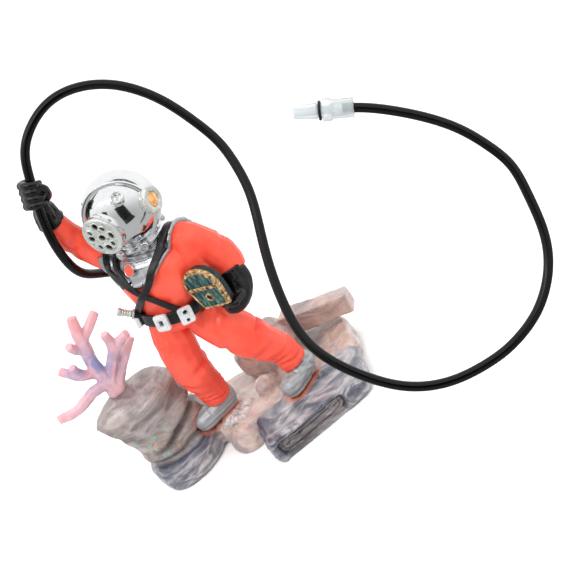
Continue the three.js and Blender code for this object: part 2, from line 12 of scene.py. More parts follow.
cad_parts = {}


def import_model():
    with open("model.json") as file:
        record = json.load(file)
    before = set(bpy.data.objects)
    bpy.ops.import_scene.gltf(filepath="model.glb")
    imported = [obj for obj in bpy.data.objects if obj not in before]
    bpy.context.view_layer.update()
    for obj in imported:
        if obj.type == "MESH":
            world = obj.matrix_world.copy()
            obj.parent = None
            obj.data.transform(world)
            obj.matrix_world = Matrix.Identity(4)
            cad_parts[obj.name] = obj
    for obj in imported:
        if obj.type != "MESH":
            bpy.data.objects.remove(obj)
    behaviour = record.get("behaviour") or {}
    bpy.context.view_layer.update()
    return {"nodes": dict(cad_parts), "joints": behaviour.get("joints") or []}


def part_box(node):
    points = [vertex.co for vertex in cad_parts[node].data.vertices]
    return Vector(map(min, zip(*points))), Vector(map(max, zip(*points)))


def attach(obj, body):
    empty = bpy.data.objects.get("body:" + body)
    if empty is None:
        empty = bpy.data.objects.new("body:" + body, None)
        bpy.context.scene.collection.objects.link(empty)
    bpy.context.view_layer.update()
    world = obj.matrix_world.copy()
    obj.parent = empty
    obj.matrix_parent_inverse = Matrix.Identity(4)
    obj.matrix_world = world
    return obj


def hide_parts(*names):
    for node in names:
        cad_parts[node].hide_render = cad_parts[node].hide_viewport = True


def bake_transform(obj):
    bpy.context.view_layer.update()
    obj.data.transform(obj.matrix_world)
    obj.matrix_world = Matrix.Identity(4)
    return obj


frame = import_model()

MM = 0.001
BASE = "ornament"  # the body that everything but the airline rides on


# ---------------------------------------------------------------- places
def placed(at, yaw, lean=0.0):
    """The frame of a group that faces yaw degrees from -Y and leans sideways."""
    tilt = Matrix.Rotation(math.radians(lean), 4, "Y")
    turn = Matrix.Rotation(math.radians(yaw), 4, "Z")
    return np.array(Matrix.Translation(at) @ tilt @ turn)


TORSO = placed((-2.5, -3, 55.5), -50, 14)  # middle of the belt
HEAD = placed((4.8, -4, 91), -46, 4)  # centre of the helmet dome
CHEST = placed((8.8, -20, 52.8), -48)  # middle of the chest's lower front edge


def at(matrix, points):
    """Points carried by a 4x4 matrix."""
    points = np.asarray(points, float)
    return points @ matrix[:3, :3].T + matrix[:3, 3]


def within(matrix, points):
    """World points in the frame of a 4x4 matrix."""
    return at(np.linalg.inv(matrix), points)


def pointing(origin, direction, side=(0.0, 0.0, 1.0)):
    """A frame at origin with its Z along direction."""
    z = np.asarray(direction, float) / np.linalg.norm(direction)
    x = np.cross(side, z)
    if np.linalg.norm(x) < 1e-3:
        x = np.cross((0.0, 1.0, 0.0), z)
    x /= np.linalg.norm(x)
    matrix = np.eye(4)
    matrix[:3, 0], matrix[:3, 1], matrix[:3, 2] = x, np.cross(z, x), z
    matrix[:3, 3] = origin
    return matrix


def linked(name, data):
    """A new object of the scene that holds data."""
    made = bpy.data.objects.new(name, data)
    bpy.context.scene.collection.objects.link(made)
    return made


# ---------------------------------------------------------------- shapes
# A shape is (points, faces): an array of places and a list of tuples of point numbers.
def joined(*shapes):
    points, faces, start = [], [], 0
    for some_points, some_faces in shapes:
        points.append(np.asarray(some_points, float))
        faces += [tuple(int(i) + start for i in face) for face in some_faces]
        start += len(some_points)
    return np.concatenate(points), faces


def moved(shape, matrix):
    return at(matrix, shape[0]), shape[1]


def lathe(profile, sides=64):
    """A half outline [(radius, height)...] turned about Z. One that ends where it starts makes a ring."""
    looped = tuple(profile[0]) == tuple(profile[-1])
    outline = profile[:-1] if looped else profile
    turn = np.linspace(0, 2 * math.pi, sides, endpoint=False)
    points, rings = [], []
    for radius, height in outline:
        count = 1 if radius < 1e-6 else sides
        rings.append([len(points) + k for k in range(count)])
        points += [(radius * math.cos(a), radius * math.sin(a), height) for a in turn[:count]]
    faces = []
    for lower, upper in zip(rings, rings[1:] + (rings[:1] if looped else [])):
        for k in range(sides):
            low = [lower[k % len(lower)], lower[(k + 1) % sides % len(lower)]]
            high = [upper[(k + 1) % sides % len(upper)], upper[k % len(upper)]]
            face = tuple(dict.fromkeys(low + high))
            if len(face) > 2:
                faces.append(face)
    return np.array(points), faces


def rounded(outline, radius, steps=4):
    """An outline with its corners turned into short curves. Ends that are open stay where they are."""
    corners = [np.array(p, float) for p in outline]
    looped = np.allclose(corners[0], corners[-1])
    if looped:
        corners = corners[:-1]
    result = [] if looped else [tuple(corners[0])]
    inner = range(len(corners)) if looped else range(1, len(corners) - 1)
    for i in inner:
        here, before, after = corners[i], corners[i - 1], corners[(i + 1) % len(corners)]
        reach = min(radius, 0.45 * np.linalg.norm(before - here), 0.45 * np.linalg.norm(after - here))
        first = here + (before - here) / np.linalg.norm(before - here) * reach
        last = here + (after - here) / np.linalg.norm(after - here) * reach
        for t in np.linspace(0, 1, steps + 1):
            result.append(tuple((1 - t) ** 2 * first + 2 * t * (1 - t) * here + t * t * last))
    result.append(result[0] if looped else tuple(corners[-1]))
    return result


def circle(radius, sides=24):
    turn = np.linspace(0, 2 * math.pi, sides, endpoint=False)
    return np.stack([radius * np.cos(turn), radius * np.sin(turn)], 1)


def band(width, thickness, corner):
    """The section of a strap: width across, lying from 0 to thickness, with rounded corners."""
    w = width / 2
    outline = [(-w, 0), (w, 0), (w, thickness), (-w, thickness), (-w, 0)]
    return np.array(rounded(outline, corner, 3)[:-1])


def unit(vectors):
    vectors = np.asarray(vectors, float)
    return vectors / np.maximum(np.linalg.norm(vectors, axis=-1, keepdims=True), 1e-12)


def swept(path, section, outward=None, scale=None, looped=False):
    """A section [(across, outward)...] carried along a path, closed by caps unless the path is a loop."""
    path = np.asarray(path, float)
    if looped:
        tangent = unit(np.roll(path, -1, 0) - np.roll(path, 1, 0))
    else:
        tangent = unit(np.gradient(path, axis=0))
    if outward is None:
        outward = carried_normal(tangent)
    across = unit(np.cross(tangent, outward))
    outward = np.cross(across, tangent)
    scale = np.ones(len(path)) if scale is None else np.asarray(scale, float)
    reach = section[None, :, :] * scale[:, None, None]
    points = path[:, None] + across[:, None] * reach[:, :, :1] + outward[:, None] * reach[:, :, 1:]
    count, sides = len(path), len(section)
    faces = []
    for i in range(count if looped else count - 1):
        here, there = i * sides, (i + 1) % count * sides
        for k in range(sides):
            n = (k + 1) % sides
            faces.append((here + k, here + n, there + n, there + k))
    if not looped:
        faces.append(tuple(range(sides))[::-1])
        faces.append(tuple(range((count - 1) * sides, count * sides)))
    return points.reshape(-1, 3), faces


def carried_normal(tangent):
    """A normal carried along a path without twisting."""
    start = np.cross(tangent[0], (0.3, 0.9, 0.2))
    normal = [start / np.linalg.norm(start)]
    for t in tangent[1:]:
        n = normal[-1] - t * (normal[-1] @ t)
        normal.append(n / np.linalg.norm(n))
    return np.array(normal)


def spline(points, step=0.6):
    """A smooth line through points, with about one place every step millimetres."""
    points = np.asarray(points, float)
    padded = np.concatenate([[2 * points[0] - points[1]], points, [2 * points[-1] - points[-2]]])
    line = []
    for a, b, c, d in zip(padded, padded[1:], padded[2:], padded[3:]):
        count = max(2, int(np.linalg.norm(c - b) / step * 3))
        t = np.linspace(0, 1, count, endpoint=False)[:, None]
        bend = (2 * a - 5 * b + 4 * c - d) * t + (3 * b - a - 3 * c + d) * t * t
        line.append(b + 0.5 * t * (c - a + bend))
    return even(np.concatenate(line + [points[-1:]]), step)


def even(line, step):
    """A polyline with its places spread evenly."""
    run = np.concatenate([[0], np.cumsum(np.linalg.norm(np.diff(line, axis=0), axis=1))])
    places = np.linspace(0, run[-1], max(2, int(round(run[-1] / step)) + 1))
    return np.stack([np.interp(places, run, line[:, i]) for i in range(3)], 1)


def ball(radius, sides=24, stretch=(1, 1, 1)):
    turn = np.linspace(-math.pi / 2, math.pi / 2, sides // 2 + 1)
    profile = [(max(0.0, radius * math.cos(a)), radius * math.sin(a)) for a in turn]
    profile[0], profile[-1] = (0.0, -radius), (0.0, radius)
    points, faces = lathe(profile, sides)
    return points * np.array(stretch), faces


def finger(line, radii, sides=14):
    """A rounded rod along a line, with a radius at each given place."""
    path = spline(line, 0.4)
    sizes = np.interp(np.linspace(0, 1, len(path)), np.linspace(0, 1, len(radii)), radii)
    rod = swept(path, circle(1.0, sides), scale=sizes)
    ends = [moved(ball(sizes[i], sides), placed(path[i], 0)) for i in (0, -1)]
    return joined(rod, *ends)


def block(width, depth, height, corner, steps=3):
    """A box with rounded edges about the origin."""
    work = bmesh.new()
    bmesh.ops.create_cube(work, size=1.0)
    bmesh.ops.scale(work, vec=(width, depth, height), verts=work.verts)
    bmesh.ops.bevel(work, geom=work.edges, offset=corner, segments=steps, profile=0.5, affect="EDGES")
    return taken(work)


def taken(work):
    """The shape held in a bmesh, which is freed."""
    work.verts.index_update()
    points = np.array([v.co for v in work.verts], float)
    faces = [tuple(v.index for v in f.verts) for f in work.faces]
    work.free()
    return points, faces


def arch_outline(half, height, spring, steps=28):
    """The outline of an arch on its foot: straight sides up to spring, then a half ellipse."""
    turn = np.linspace(0, math.pi, steps)
    top = [(half * math.cos(a), spring + (height - spring) * math.sin(a)) for a in turn]
    return [(-half, 0.0), (half, 0.0)] + top


def prism(outline, front, back, corner=0.0, steps=2):
    """An outline in X and Z, extruded along Y, with its front and back edges rounded."""
    work = bmesh.new()
    ring = [work.verts.new((x, front, z)) for x, z in dict.fromkeys(map(tuple, outline))]
    face = work.faces.new(ring)
    made = bmesh.ops.extrude_face_region(work, geom=[face])["geom"]
    moved_verts = [g for g in made if isinstance(g, bmesh.types.BMVert)]
    bmesh.ops.translate(work, vec=(0, back - front, 0), verts=moved_verts)
    if corner:
        sharp = [e for e in work.edges if e.calc_face_angle(0) > math.radians(30)]
        bmesh.ops.bevel(work, geom=sharp, offset=corner, segments=steps, profile=0.5, affect="EDGES")
    return taken(work)


# ---------------------------------------------------------------- CAD nodes as shapes
def cad_shape(node):
    """A CAD node in millimetres, with its shared corners merged."""
    mesh = frame["nodes"][node].data
    places = np.array([v.co for v in mesh.vertices], float) / MM
    merged, number = np.unique(places.round(4), axis=0, return_inverse=True)
    number = number.reshape(-1)
    faces = [tuple(dict.fromkeys(int(number[i]) for i in p.vertices)) for p in mesh.polygons]
    return merged, [f for f in faces if len(f) > 2]


def point_normals(points, faces):
    """Area-weighted normals at the points."""
    triangles = np.array([(f[0], f[i], f[i + 1]) for f in faces for i in range(1, len(f) - 1)])
    a, b, c = (points[triangles[:, i]] for i in range(3))
    normal = np.cross(b - a, c - a)
    total = np.zeros_like(points)
    for i in range(3):
        np.add.at(total, triangles[:, i], normal)
    return unit(total)


def swollen(shape, amount):
    return shape[0] + point_normals(*shape) * amount, shape[1]


def spine(points, direction, count=9):
    """The middle line of a long shape: the mean of its points in slices across direction."""
    along = points @ unit(direction)
    edges = np.linspace(along.min(), along.max() + 1e-6, count + 1)
    slices = [points[(along >= a) & (along < b)] for a, b in zip(edges, edges[1:])]
    middles = [(s.min(0) + s.max(0)) / 2 for s in slices if len(s) > 3]
    return np.array(middles)


def about(points, line, facing=(0, -1, 0)):
    """Where points are about a line: distance run along it, and the angle from facing, in degrees."""
    line = even(np.asarray(line, float), 1.0)
    step = np.linalg.norm(line[1] - line[0])
    nearest = np.argmin(((points[:, None] - line[None]) ** 2).sum(2), 1)
    tangent = unit(np.gradient(line, axis=0))[nearest]
    offset = points - line[nearest]
    run = nearest * step + (offset * tangent).sum(1)
    front = unit(np.asarray(facing, float) - tangent * (tangent @ np.asarray(facing, float))[:, None])
    side = np.cross(tangent, front)
    angle = np.degrees(np.arctan2((offset * side).sum(1), (offset * front).sum(1)))
    return run, angle


# ---------------------------------------------------------------- moulded surfaces
def edges_of(faces):
    pairs = {tuple(sorted(p)) for f in faces for p in zip(f, f[1:] + f[:1])}
    return np.array(sorted(pairs))


def relaxed(shape, rounds):
    """A shape smoothed by moving its points towards their neighbours and back, so that it keeps its size."""
    points, faces = shape
    a, b = edges_of(faces).T
    count = len(points)
    degree = np.bincount(a, minlength=count) + np.bincount(b, minlength=count)
    for _ in range(rounds):
        for pull in (0.5, -0.52):
            total = [
                np.bincount(a, points[b, i], count) + np.bincount(b, points[a, i], count)
                for i in range(3)
            ]
            points = points + pull * (np.stack(total, 1) / degree[:, None] - points)
    return points, faces


def evaluated(shape, prepare):
    """A shape after the modifiers that prepare adds to its object."""
    mesh = bpy.data.meshes.new("work")
    mesh.from_pydata(shape[0].tolist(), [], shape[1])
    work = linked("work", mesh)
    prepare(work)
    result = bpy.data.meshes.new_from_object(work.evaluated_get(bpy.context.evaluated_depsgraph_get()))
    places = np.empty(len(result.vertices) * 3)
    result.vertices.foreach_get("co", places)
    faces = [tuple(p.vertices) for p in result.polygons]
    bpy.data.objects.remove(work)
    bpy.data.meshes.remove(mesh)
    bpy.data.meshes.remove(result)
    return places.reshape(-1, 3), faces


def fused(shape, grain, rounds=6):
    """One even skin around closed shapes that overlap, smoothed."""

    def prepare(work):
        skin = work.modifiers.new("skin", "REMESH")
        skin.mode = "VOXEL"
        skin.voxel_size = grain

    return relaxed(evaluated(shape, prepare), rounds)


def drilled(shape, *cutters):
    """A shape with other shapes cut out of it."""
    mesh = bpy.data.meshes.new("cutter")
    points, faces = joined(*cutters)
    mesh.from_pydata(points.tolist(), [], faces)
    cutter = linked("cutter", mesh)

    def prepare(work):
        cut = work.modifiers.new("cut", "BOOLEAN")
        cut.operation = "DIFFERENCE"
        cut.solver = "EXACT"
        cut.use_self = len(cutters) > 1
        cut.object = cutter

    result = evaluated(shape, prepare)
    bpy.data.objects.remove(cutter)
    bpy.data.meshes.remove(mesh)
    return result


def raised(shape, height):
    """A shape with its points moved along their normals by height."""
    return shape[0] + point_normals(*shape) * np.asarray(height, float)[:, None], shape[1]


def noise(points, size, seed=0):
    """Smooth noise from -1 to 1 with features of the given size."""
    place = np.asarray(points, float) / size + 17.3 * seed
    cell = np.floor(place).astype(np.int64)
    share = place - cell
    share = share * share * (3 - 2 * share)
    total = np.zeros(len(place))
    for corner in np.ndindex(2, 2, 2):
        key = (cell + corner) @ np.array([73856093, 19349663, 83492791]) + seed * 7919
        key = (key ^ (key >> 13)) * 1274126177 & 0x7FFFFFFF
        value = ((key ^ (key >> 16)) & 0xFFFF) / 32767.5 - 1
        weight = np.prod(np.where(corner, share, 1 - share), 1)
        total += value * weight
    return total


def rough(points, size, octaves=3, seed=0):
    """Noise of several sizes, each half as large and half as strong as the one before."""
    layers = [noise(points, size / 2**i, seed + i) / 2**i for i in range(octaves)]
    return sum(layers) / (2 - 0.5 ** (octaves - 1))


def bell(x, width):
    return np.exp(-((x / width) ** 2))


def crease(run, angle, place, facing, spread, slope=0.0, depth=0.4, width=1.5):
    """A soft fold across a limb: a shallow hollow between two swellings, facing one way."""
    turn = (angle - facing + 180) % 360 - 180
    off = run - place - slope * turn / 60
    swelling = bell(off - 1.8 * width, 1.3 * width) + bell(off + 1.8 * width, 1.3 * width)
    return 1.5 * depth * bell(turn, spread) * (0.6 * swelling - bell(off, 0.9 * width))


def ring_folds(run, angle, low, high, count, depth=0.65, wobble=0.8):
    """Cloth stacked up in soft rings between two places on a limb."""
    off = run + wobble * np.sin(np.radians(angle + 40)) + 0.4 * wobble * np.sin(np.radians(angle * 3))
    phase = (off - low) / (high - low) * count
    inside = np.clip((off - low) / 2, 0, 1) * np.clip((high - off) / 2.5, 0, 1)
    strength = 0.65 + 0.35 * np.sin(np.radians(angle * 2 + 90 * phase))
    return depth * inside * strength * (np.sin(math.pi * phase) ** 2 - 0.5)


def finder(shape):
    return BVHTree.FromPolygons([Vector(p) for p in shape[0]], shape[1])


def distances(points, shape):
    tree = finder(shape)
    return np.array([tree.find_nearest(Vector(p))[3] for p in points])


# ---------------------------------------------------------------- materials
def tint(code):
    """A colour #rrggbb as linear values."""
    parts = [int(code[i : i + 2], 16) / 255 for i in (1, 3, 5)]
    return [c / 12.92 if c <= 0.04045 else ((c + 0.055) / 1.055) ** 2.4 for c in parts] + [1.0]


class Paint:
    """One material, made from nodes."""

    def __init__(self, name):
        self.material = bpy.data.materials.new(name)
        self.material.use_nodes = True
        self.tree = self.material.node_tree
        self.surface = self.tree.nodes["Principled BSDF"]
        self.place = self.node("TexCoord").outputs["Object"]

    def feed(self, socket, value):
        if isinstance(value, bpy.types.NodeSocket):
            self.tree.links.new(value, socket)
        elif isinstance(value, str):
            socket.default_value = tint(value)
        else:
            socket.default_value = value

    def node(self, kind, inputs=None, **settings):
        made = self.tree.nodes.new("ShaderNode" + kind)
        for key, value in settings.items():
            setattr(made, key, value)
        for key, value in (inputs or {}).items():
            self.feed(made.inputs[key], value)
        return made

    def noise(self, size, detail=3.0, warp=0.0, where=None, roughness=0.5):
        """Noise with features of about size millimetres."""
        inputs = {"Scale": 1000 / size, "Detail": detail, "Distortion": warp, "Roughness": roughness}
        inputs["Vector"] = self.place if where is None else where
        return self.node("TexNoise", inputs).outputs["Fac"]

    def stretched(self, x=1.0, y=1.0, z=1.0, vector=None):
        inputs = {"Vector": self.place if vector is None else vector, "Scale": (x, y, z)}
        return self.node("Mapping", inputs).outputs["Vector"]

    def ramp(self, value, stops, smooth=False):
        """Colours, or grey levels, spread over a value at the places that stops gives."""
        made = self.node("ValToRGB", {"Fac": value})
        line = made.color_ramp
        line.interpolation = "EASE" if smooth else "LINEAR"
        for _ in stops[2:]:
            line.elements.new(0.5)
        for element, (place, _) in zip(line.elements, stops):
            element.position = place
        for element, (_, colour) in zip(line.elements, stops):
            element.color = tint(colour) if isinstance(colour, str) else (colour, colour, colour, 1)
        return made.outputs["Color"]

    def rising(self, value, low, high, top=1.0):
        """0 where value is below low, and top where it is above high."""
        return self.ramp(value, [(low, 0.0), (high, top)])

    def mix(self, share, first, second):
        made = self.node("Mix", data_type="RGBA")
        self.feed(made.inputs[0], share)
        self.feed(made.inputs[6], first)
        self.feed(made.inputs[7], second)
        return made.outputs[2]

    def maths(self, kind, first, second):
        made = self.node("Math", operation=kind)
        self.feed(made.inputs[0], first)
        self.feed(made.inputs[1], second)
        return made.outputs[0]

    def times(self, first, second):
        return self.maths("MULTIPLY", first, second)

    def span(self, value, low, high, start=0.3, end=0.7):
        """value between start and end, spread over low to high."""
        inputs = {"Value": value, "From Min": start, "From Max": end, "To Min": low, "To Max": high}
        return self.node("MapRange", inputs).outputs["Result"]

    def edge(self):
        """How convex the surface is: 0.5 on the flat, more on ridges, less in hollows."""
        return self.node("NewGeometry").outputs["Pointiness"]

    def hollows(self, colour, deep, shallow, amount, tone):
        """A colour that turns to tone by amount where the surface is hollow."""
        share = self.ramp(self.edge(), [(deep, 1.0), (shallow, 0.0)])
        return self.mix(self.times(share, amount), colour, tone)

    def ridges(self, colour, low, high, amount, tone):
        """A colour that turns to tone by amount on ridges and edges."""
        return self.mix(self.times(self.rising(self.edge(), low, high), amount), colour, tone)

    def painted(self, name):
        """A value stored on the mesh."""
        return self.node("Attribute", attribute_name=name).outputs["Fac"]

    def finish(self, colour, roughness=0.5, grain=None, depth=0.05, **more):
        """The material, with grain as a bump of depth millimetres."""
        self.feed(self.surface.inputs["Base Color"], colour)
        self.feed(self.surface.inputs["Roughness"], roughness)
        for key, value in more.items():
            self.feed(self.surface.inputs[key.replace("_", " ")], value)
        if grain is not None:
            bump = self.node("Bump", {"Height": grain, "Strength": 1.0, "Distance": depth * MM})
            self.feed(self.surface.inputs["Normal"], bump.outputs["Normal"])
        return self.material


def suit_paint():
    p = Paint("suit_paint")
    colour = p.ramp(p.noise(9, 3), [(0.3, "#e43f29"), (0.7, "#f2563f")])
    # Painted shade: the red turns darker in the creases and hollows.
    colour = p.hollows(colour, 0.40, 0.49, 0.8, "#b32214")
    # Painted highlight: the red turns lighter on the ridges of the folds.
    colour = p.ridges(colour, 0.56, 0.68, 0.2, "#ff8c72")
    gloss = p.span(p.noise(0.9, 4), 0.3, 0.46)
    return p.finish(colour, gloss, p.noise(1.6, 4), 0.05, Coat_Weight=0.25, Coat_Roughness=0.18)


def glove_paint():
    p = Paint("glove_paint")
    fine = p.noise(1.2, 5)
    flecks = p.times(p.rising(p.noise(0.7, 4), 0.55, 0.68), 0.5)
    colour = p.ridges("#0c0c0d", 0.54, 0.66, flecks, "#4a4a4d")
    return p.finish(colour, p.span(fine, 0.13, 0.26), fine, 0.03, Specular_IOR_Level=0.5)


def hose_rubber():
    p = Paint("hose_rubber")
    scuffs = p.rising(p.noise(3.0, 6, 1.5), 0.62, 0.8)
    colour = p.mix(p.times(scuffs, 0.4), "#030304", "#17171a")
    gloss = p.span(p.noise(1.4, 4), 0.14, 0.24)
    return p.finish(colour, gloss, p.noise(0.6, 3), 0.012, Specular_IOR_Level=0.32)


def strap_paint():
    p = Paint("strap_paint")
    fine = p.noise(0.5, 5)
    patches = p.rising(p.noise(2.5, 5, 0.6), 0.42, 0.7)
    colour = p.mix(p.times(patches, 0.5), "#08080a", "#222226")
    # Lighter on the edges and ridges: partly wear, partly painted highlight.
    colour = p.ridges(colour, 0.52, 0.6, 0.5, "#4c4c52")
    return p.finish(colour, p.span(fine, 0.24, 0.42), fine, 0.03)


def chrome_plate(name, base, smoothest, roughest, hollow_shade):
    """Silver plating, from mirror bright to satin, with some tarnish and with painted shade in its hollows.
    """
    p = Paint(name)
    tarnish = p.rising(p.noise(2.2, 5, 0.8), 0.5, 0.75)
    colour = p.mix(p.times(tarnish, 0.12), base, "#a89a7c")
    # Painted shade: the plating turns dark in its hollows.
    colour = p.hollows(colour, 0.35, 0.45, hollow_shade, "#3c3832")
    gloss = p.span(p.noise(0.8, 3), smoothest, roughest)
    return p.finish(colour, gloss, p.noise(4.5, 2), 0.04, Metallic=1.0)


def boot_paint():
    p = Paint("boot_paint")
    fine = p.noise(0.8, 4)
    brushed = p.noise(2.4, 4, 0.0, p.stretched(0.5, 0.5, 4.0))
    colour = p.ramp(brushed, [(0.3, "#8c8f92"), (0.7, "#b5b7b9")])
    # Painted shade: the silver turns darker grey in the hollows.
    colour = p.hollows(colour, 0.40, 0.49, 0.6, "#5c5a5a")
    return p.finish(colour, p.span(fine, 0.28, 0.42), fine, 0.03, Metallic=0.4, Coat_Weight=0.25)


def lead_paint():
    p = Paint("lead_paint")
    fine = p.noise(0.6, 4)
    colour = p.ramp(p.noise(1.8, 4), [(0.3, "#e6e8eb"), (0.7, "#fafafa")])
    # Painted shade: the white paint turns dark grey in the hollows.
    colour = p.hollows(colour, 0.34, 0.44, 0.3, "#3a383a")
    return p.finish(colour, p.span(fine, 0.16, 0.3), fine, 0.02, Metallic=0.55)


def pale_plate():
    """Dull silver plating over a rough casting: the perforated plate and the side port rims."""
    p = Paint("pale_plate")
    colour = p.ramp(p.noise(2.5, 3), [(0.3, "#bcc0bb"), (0.7, "#dfe2dd")])
    # Painted shade: the dull plating turns dark in its hollows.
    colour = p.hollows(colour, 0.33, 0.42, 0.35, "#33332f")
    colour = p.mix(p.painted("hole"), colour, "#161614")
    return p.finish(colour, p.span(p.noise(0.7, 4), 0.2, 0.34), p.noise(2.0, 2), 0.04, Metallic=0.6)


def amber_paint():
    p = Paint("amber_paint")
    streaks = p.noise(1.6, 4, 1.2, p.stretched(1, 1, 0.45))
    colour = p.ramp(streaks, [(0.3, "#9c6a3a"), (0.5, "#d99d5c"), (0.7, "#f0c48e")])
    return p.finish(colour, 0.22, streaks, 0.05, Coat_Weight=0.7)


ROCK_TONES = {  # each palette's colours along the veins, and the place of each one
    "grey": ("#6a6160 #867976 #998c86 #837b78 #a89b96", (0.36, 0.45, 0.50, 0.55, 0.64)),
    "slate": ("#3a3f4c #5c606d #858287 #a9a4a6 #6b6974 #a39fa1", (0.36, 0.43, 0.48, 0.52, 0.57, 0.65)),
    "brown": ("#8b8080 #b59c91 #c6aa9e #a09494 #cf9f87", (0.36, 0.45, 0.51, 0.57, 0.66)),
    "sand": ("#93878a #b59f98 #c9b0a6 #a89b99 #d59a7e", (0.36, 0.45, 0.51, 0.57, 0.65)),
}
ROCK_SPOTS = (("#6db3a4", 4.1, 0.60), ("#d98a5c", 3.4, 0.62), ("#cf9a4a", 3.0, 0.65))  # tone, size, seat


def flowing(p):
    """Places pushed about by broad noise, so that veins drawn on them swirl."""
    flow = p.stretched(1.0, 1.0, 2.0)
    bend = p.node("TexNoise", {"Vector": flow, "Scale": 45.0, "Detail": 2.0}).outputs["Color"]
    push = p.node("VectorMath", {0: bend, 1: (0.5, 0.5, 0.5)}, operation="SUBTRACT").outputs[0]
    push = p.node("VectorMath", {0: push, "Scale": 0.018}, operation="SCALE").outputs[0]
    return p.node("VectorMath", {0: flow, 1: push}, operation="ADD").outputs[0]


def rock_paint():
    """Swirled, wet-looking cast resin in four palettes, shared out by values on the mesh."""
    p = Paint("rock_paint")
    swirl = flowing(p)
    broad = p.noise(17, 2, 0.6, swirl, 0.45)
    streaks = p.noise(9, 3, 0.9, p.stretched(0.6, 1.0, 1.3, swirl), 0.5)
    veins = p.maths("ADD", p.times(broad, 0.5), p.times(streaks, 0.5))
    colour = None
    for name, (tones, places) in ROCK_TONES.items():
        toned = p.ramp(veins, list(zip(places, tones.split())))
        colour = toned if colour is None else p.mix(p.painted(name), colour, toned)
    lines = p.ramp(p.noise(7, 4, 2.0, swirl, 0.5), [(0.46, 0.0), (0.49, 1.0), (0.52, 0.0)], smooth=True)
    colour = p.mix(p.times(lines, 0.16), colour, "#3d3a42")
    dark = p.rising(p.noise(13, 4, 1.0, p.stretched(0.6, 1.0, 1.2, swirl)), 0.54, 0.66)
    dark = p.times(dark, p.maths("ADD", p.times(p.painted("slate"), 0.5), 0.25))
    colour = p.mix(dark, colour, "#2c3347")
    pale = p.rising(p.noise(12, 4, 1.0, swirl), 0.55, 0.68)
    colour = p.mix(p.times(pale, 0.34), colour, "#d9d3d2")
    colour = p.mix(p.painted("crust"), colour, p.ramp(p.noise(1.2, 4), [(0.35, "#8f8786"), (0.6, "#cfc6c3")]))
    for tone, size, seat in ROCK_SPOTS:
        spots = p.rising(p.noise(size, 3, 0.8), seat, seat + 0.1, 0.8)
        colour = p.mix(p.times(spots, p.painted("spots")), colour, tone)
    # Painted shade: the resin turns dark in its hollows.
    colour = p.hollows(colour, 0.40, 0.49, 0.75, "#3b3637")
    # Painted shade: dark brown in the long recess of the front block.
    colour = p.mix(p.times(p.painted("recess"), 0.8), colour, "#4d4442")
    colour = p.mix(p.painted("glue"), colour, p.ramp(p.noise(3, 3), [(0.35, "#a4553b"), (0.65, "#d27a5a")]))
    gloss = p.span(p.noise(5, 3), 0.18, 0.42)
    grain = p.maths("ADD", p.noise(1.6, 3), p.times(streaks, 1.2))
    return p.finish(colour, gloss, grain, 0.12, Coat_Weight=0.5, Coat_Roughness=0.08)


def coral_paint():
    p = Paint("coral_paint")
    colour = p.ramp(p.noise(6, 4, 0.6), [(0.3, "#d09aa2"), (0.55, "#d9b1b8"), (0.75, "#e4cdd2")])
    colour = p.mix(p.painted("tip"), colour, "#dd979c")
    blue = p.times(p.painted("blue"), p.rising(p.noise(5, 4, 0.8), 0.34, 0.56))
    colour = p.mix(blue, colour, "#7186b4")
    return p.finish(
        colour, 0.3, p.noise(1.6, 3), 0.08, Subsurface_Weight=0.15, Subsurface_Scale=0.002,
        Subsurface_Radius=(1.0, 0.45, 0.4), Coat_Weight=0.3,
    )


def chest_paint():
    p = Paint("chest_paint")
    streak = p.noise(2.0, 5, 0.8, p.stretched(2.2, 2.2, 0.5))
    colour = p.ramp(streak, [(0.3, "#101c22"), (0.45, "#1f4449"), (0.58, "#376c64"), (0.72, "#639c8d")])
    colour = p.hollows(colour, 0.43, 0.495, 0.85, "#07090a")
    colour = p.ridges(colour, 0.54, 0.62, 0.6, "#8d7a58")
    colour = p.mix(p.times(p.painted("shaded"), 0.85), colour, "#0c0f10")
    return p.finish(colour, 0.42, p.noise(0.7, 5), 0.1, Coat_Weight=0.1)


def gold_paint():
    p = Paint("gold_paint")
    patch = p.noise(1.1, 6, 0.5)
    colour = p.ramp(patch, [(0.34, "#35281d"), (0.43, "#86683f"), (0.54, "#bd9868"), (0.68, "#e6cba2")])
    colour = p.hollows(colour, 0.42, 0.49, 0.8, "#171009")
    return p.finish(colour, p.span(patch, 0.55, 0.28), p.noise(0.5, 5), 0.12, Metallic=0.35)


def clear_plastic():
    p = Paint("clear_plastic")
    gloss = p.span(p.noise(3, 3), 0.1, 0.24)
    return p.finish("#dfe5e6", gloss, p.noise(2.2, 3), 0.03, Transmission_Weight=0.72, IOR=1.42)


def seal_rubber():
    p = Paint("seal_rubber")
    fine = p.noise(0.5, 4)
    return p.finish("#0c0c0e", p.span(fine, 0.25, 0.45), fine, 0.04)


def porous_stone():
    p = Paint("porous_stone")
    grit = p.node("TexVoronoi", {"Vector": p.place, "Scale": 1800.0}).outputs["Distance"]
    colour = p.ramp(grit, [(0.0, "#8d8676"), (0.7, "#d9d3c2")])
    return p.finish(colour, 0.9, grit, 0.2)


def floor_paint():
    p = Paint("floor_paint")
    return p.finish("#f7f7f7", p.span(p.noise(40, 2), 0.6, 0.7))


SUIT = suit_paint()
GLOVE = glove_paint()
HOSE = hose_rubber()
STRAP = strap_paint()
# The last number of each plating is how much painted shade goes into its hollows.
CHROME = chrome_plate("chrome_plate", "#eef0f1", 0.05, 0.14, 0.75)
SATIN = chrome_plate("satin_chrome", "#cbcdd0", 0.25, 0.36, 0.1)
BOOT = boot_paint()
LEAD = lead_paint()
PALE = pale_plate()
AMBER = amber_paint()
ROCK = rock_paint()
CORAL = coral_paint()
CHEST_TEAL = chest_paint()
GOLD = gold_paint()
CLEAR = clear_plastic()
SEAL = seal_rubber()
POROUS = porous_stone()


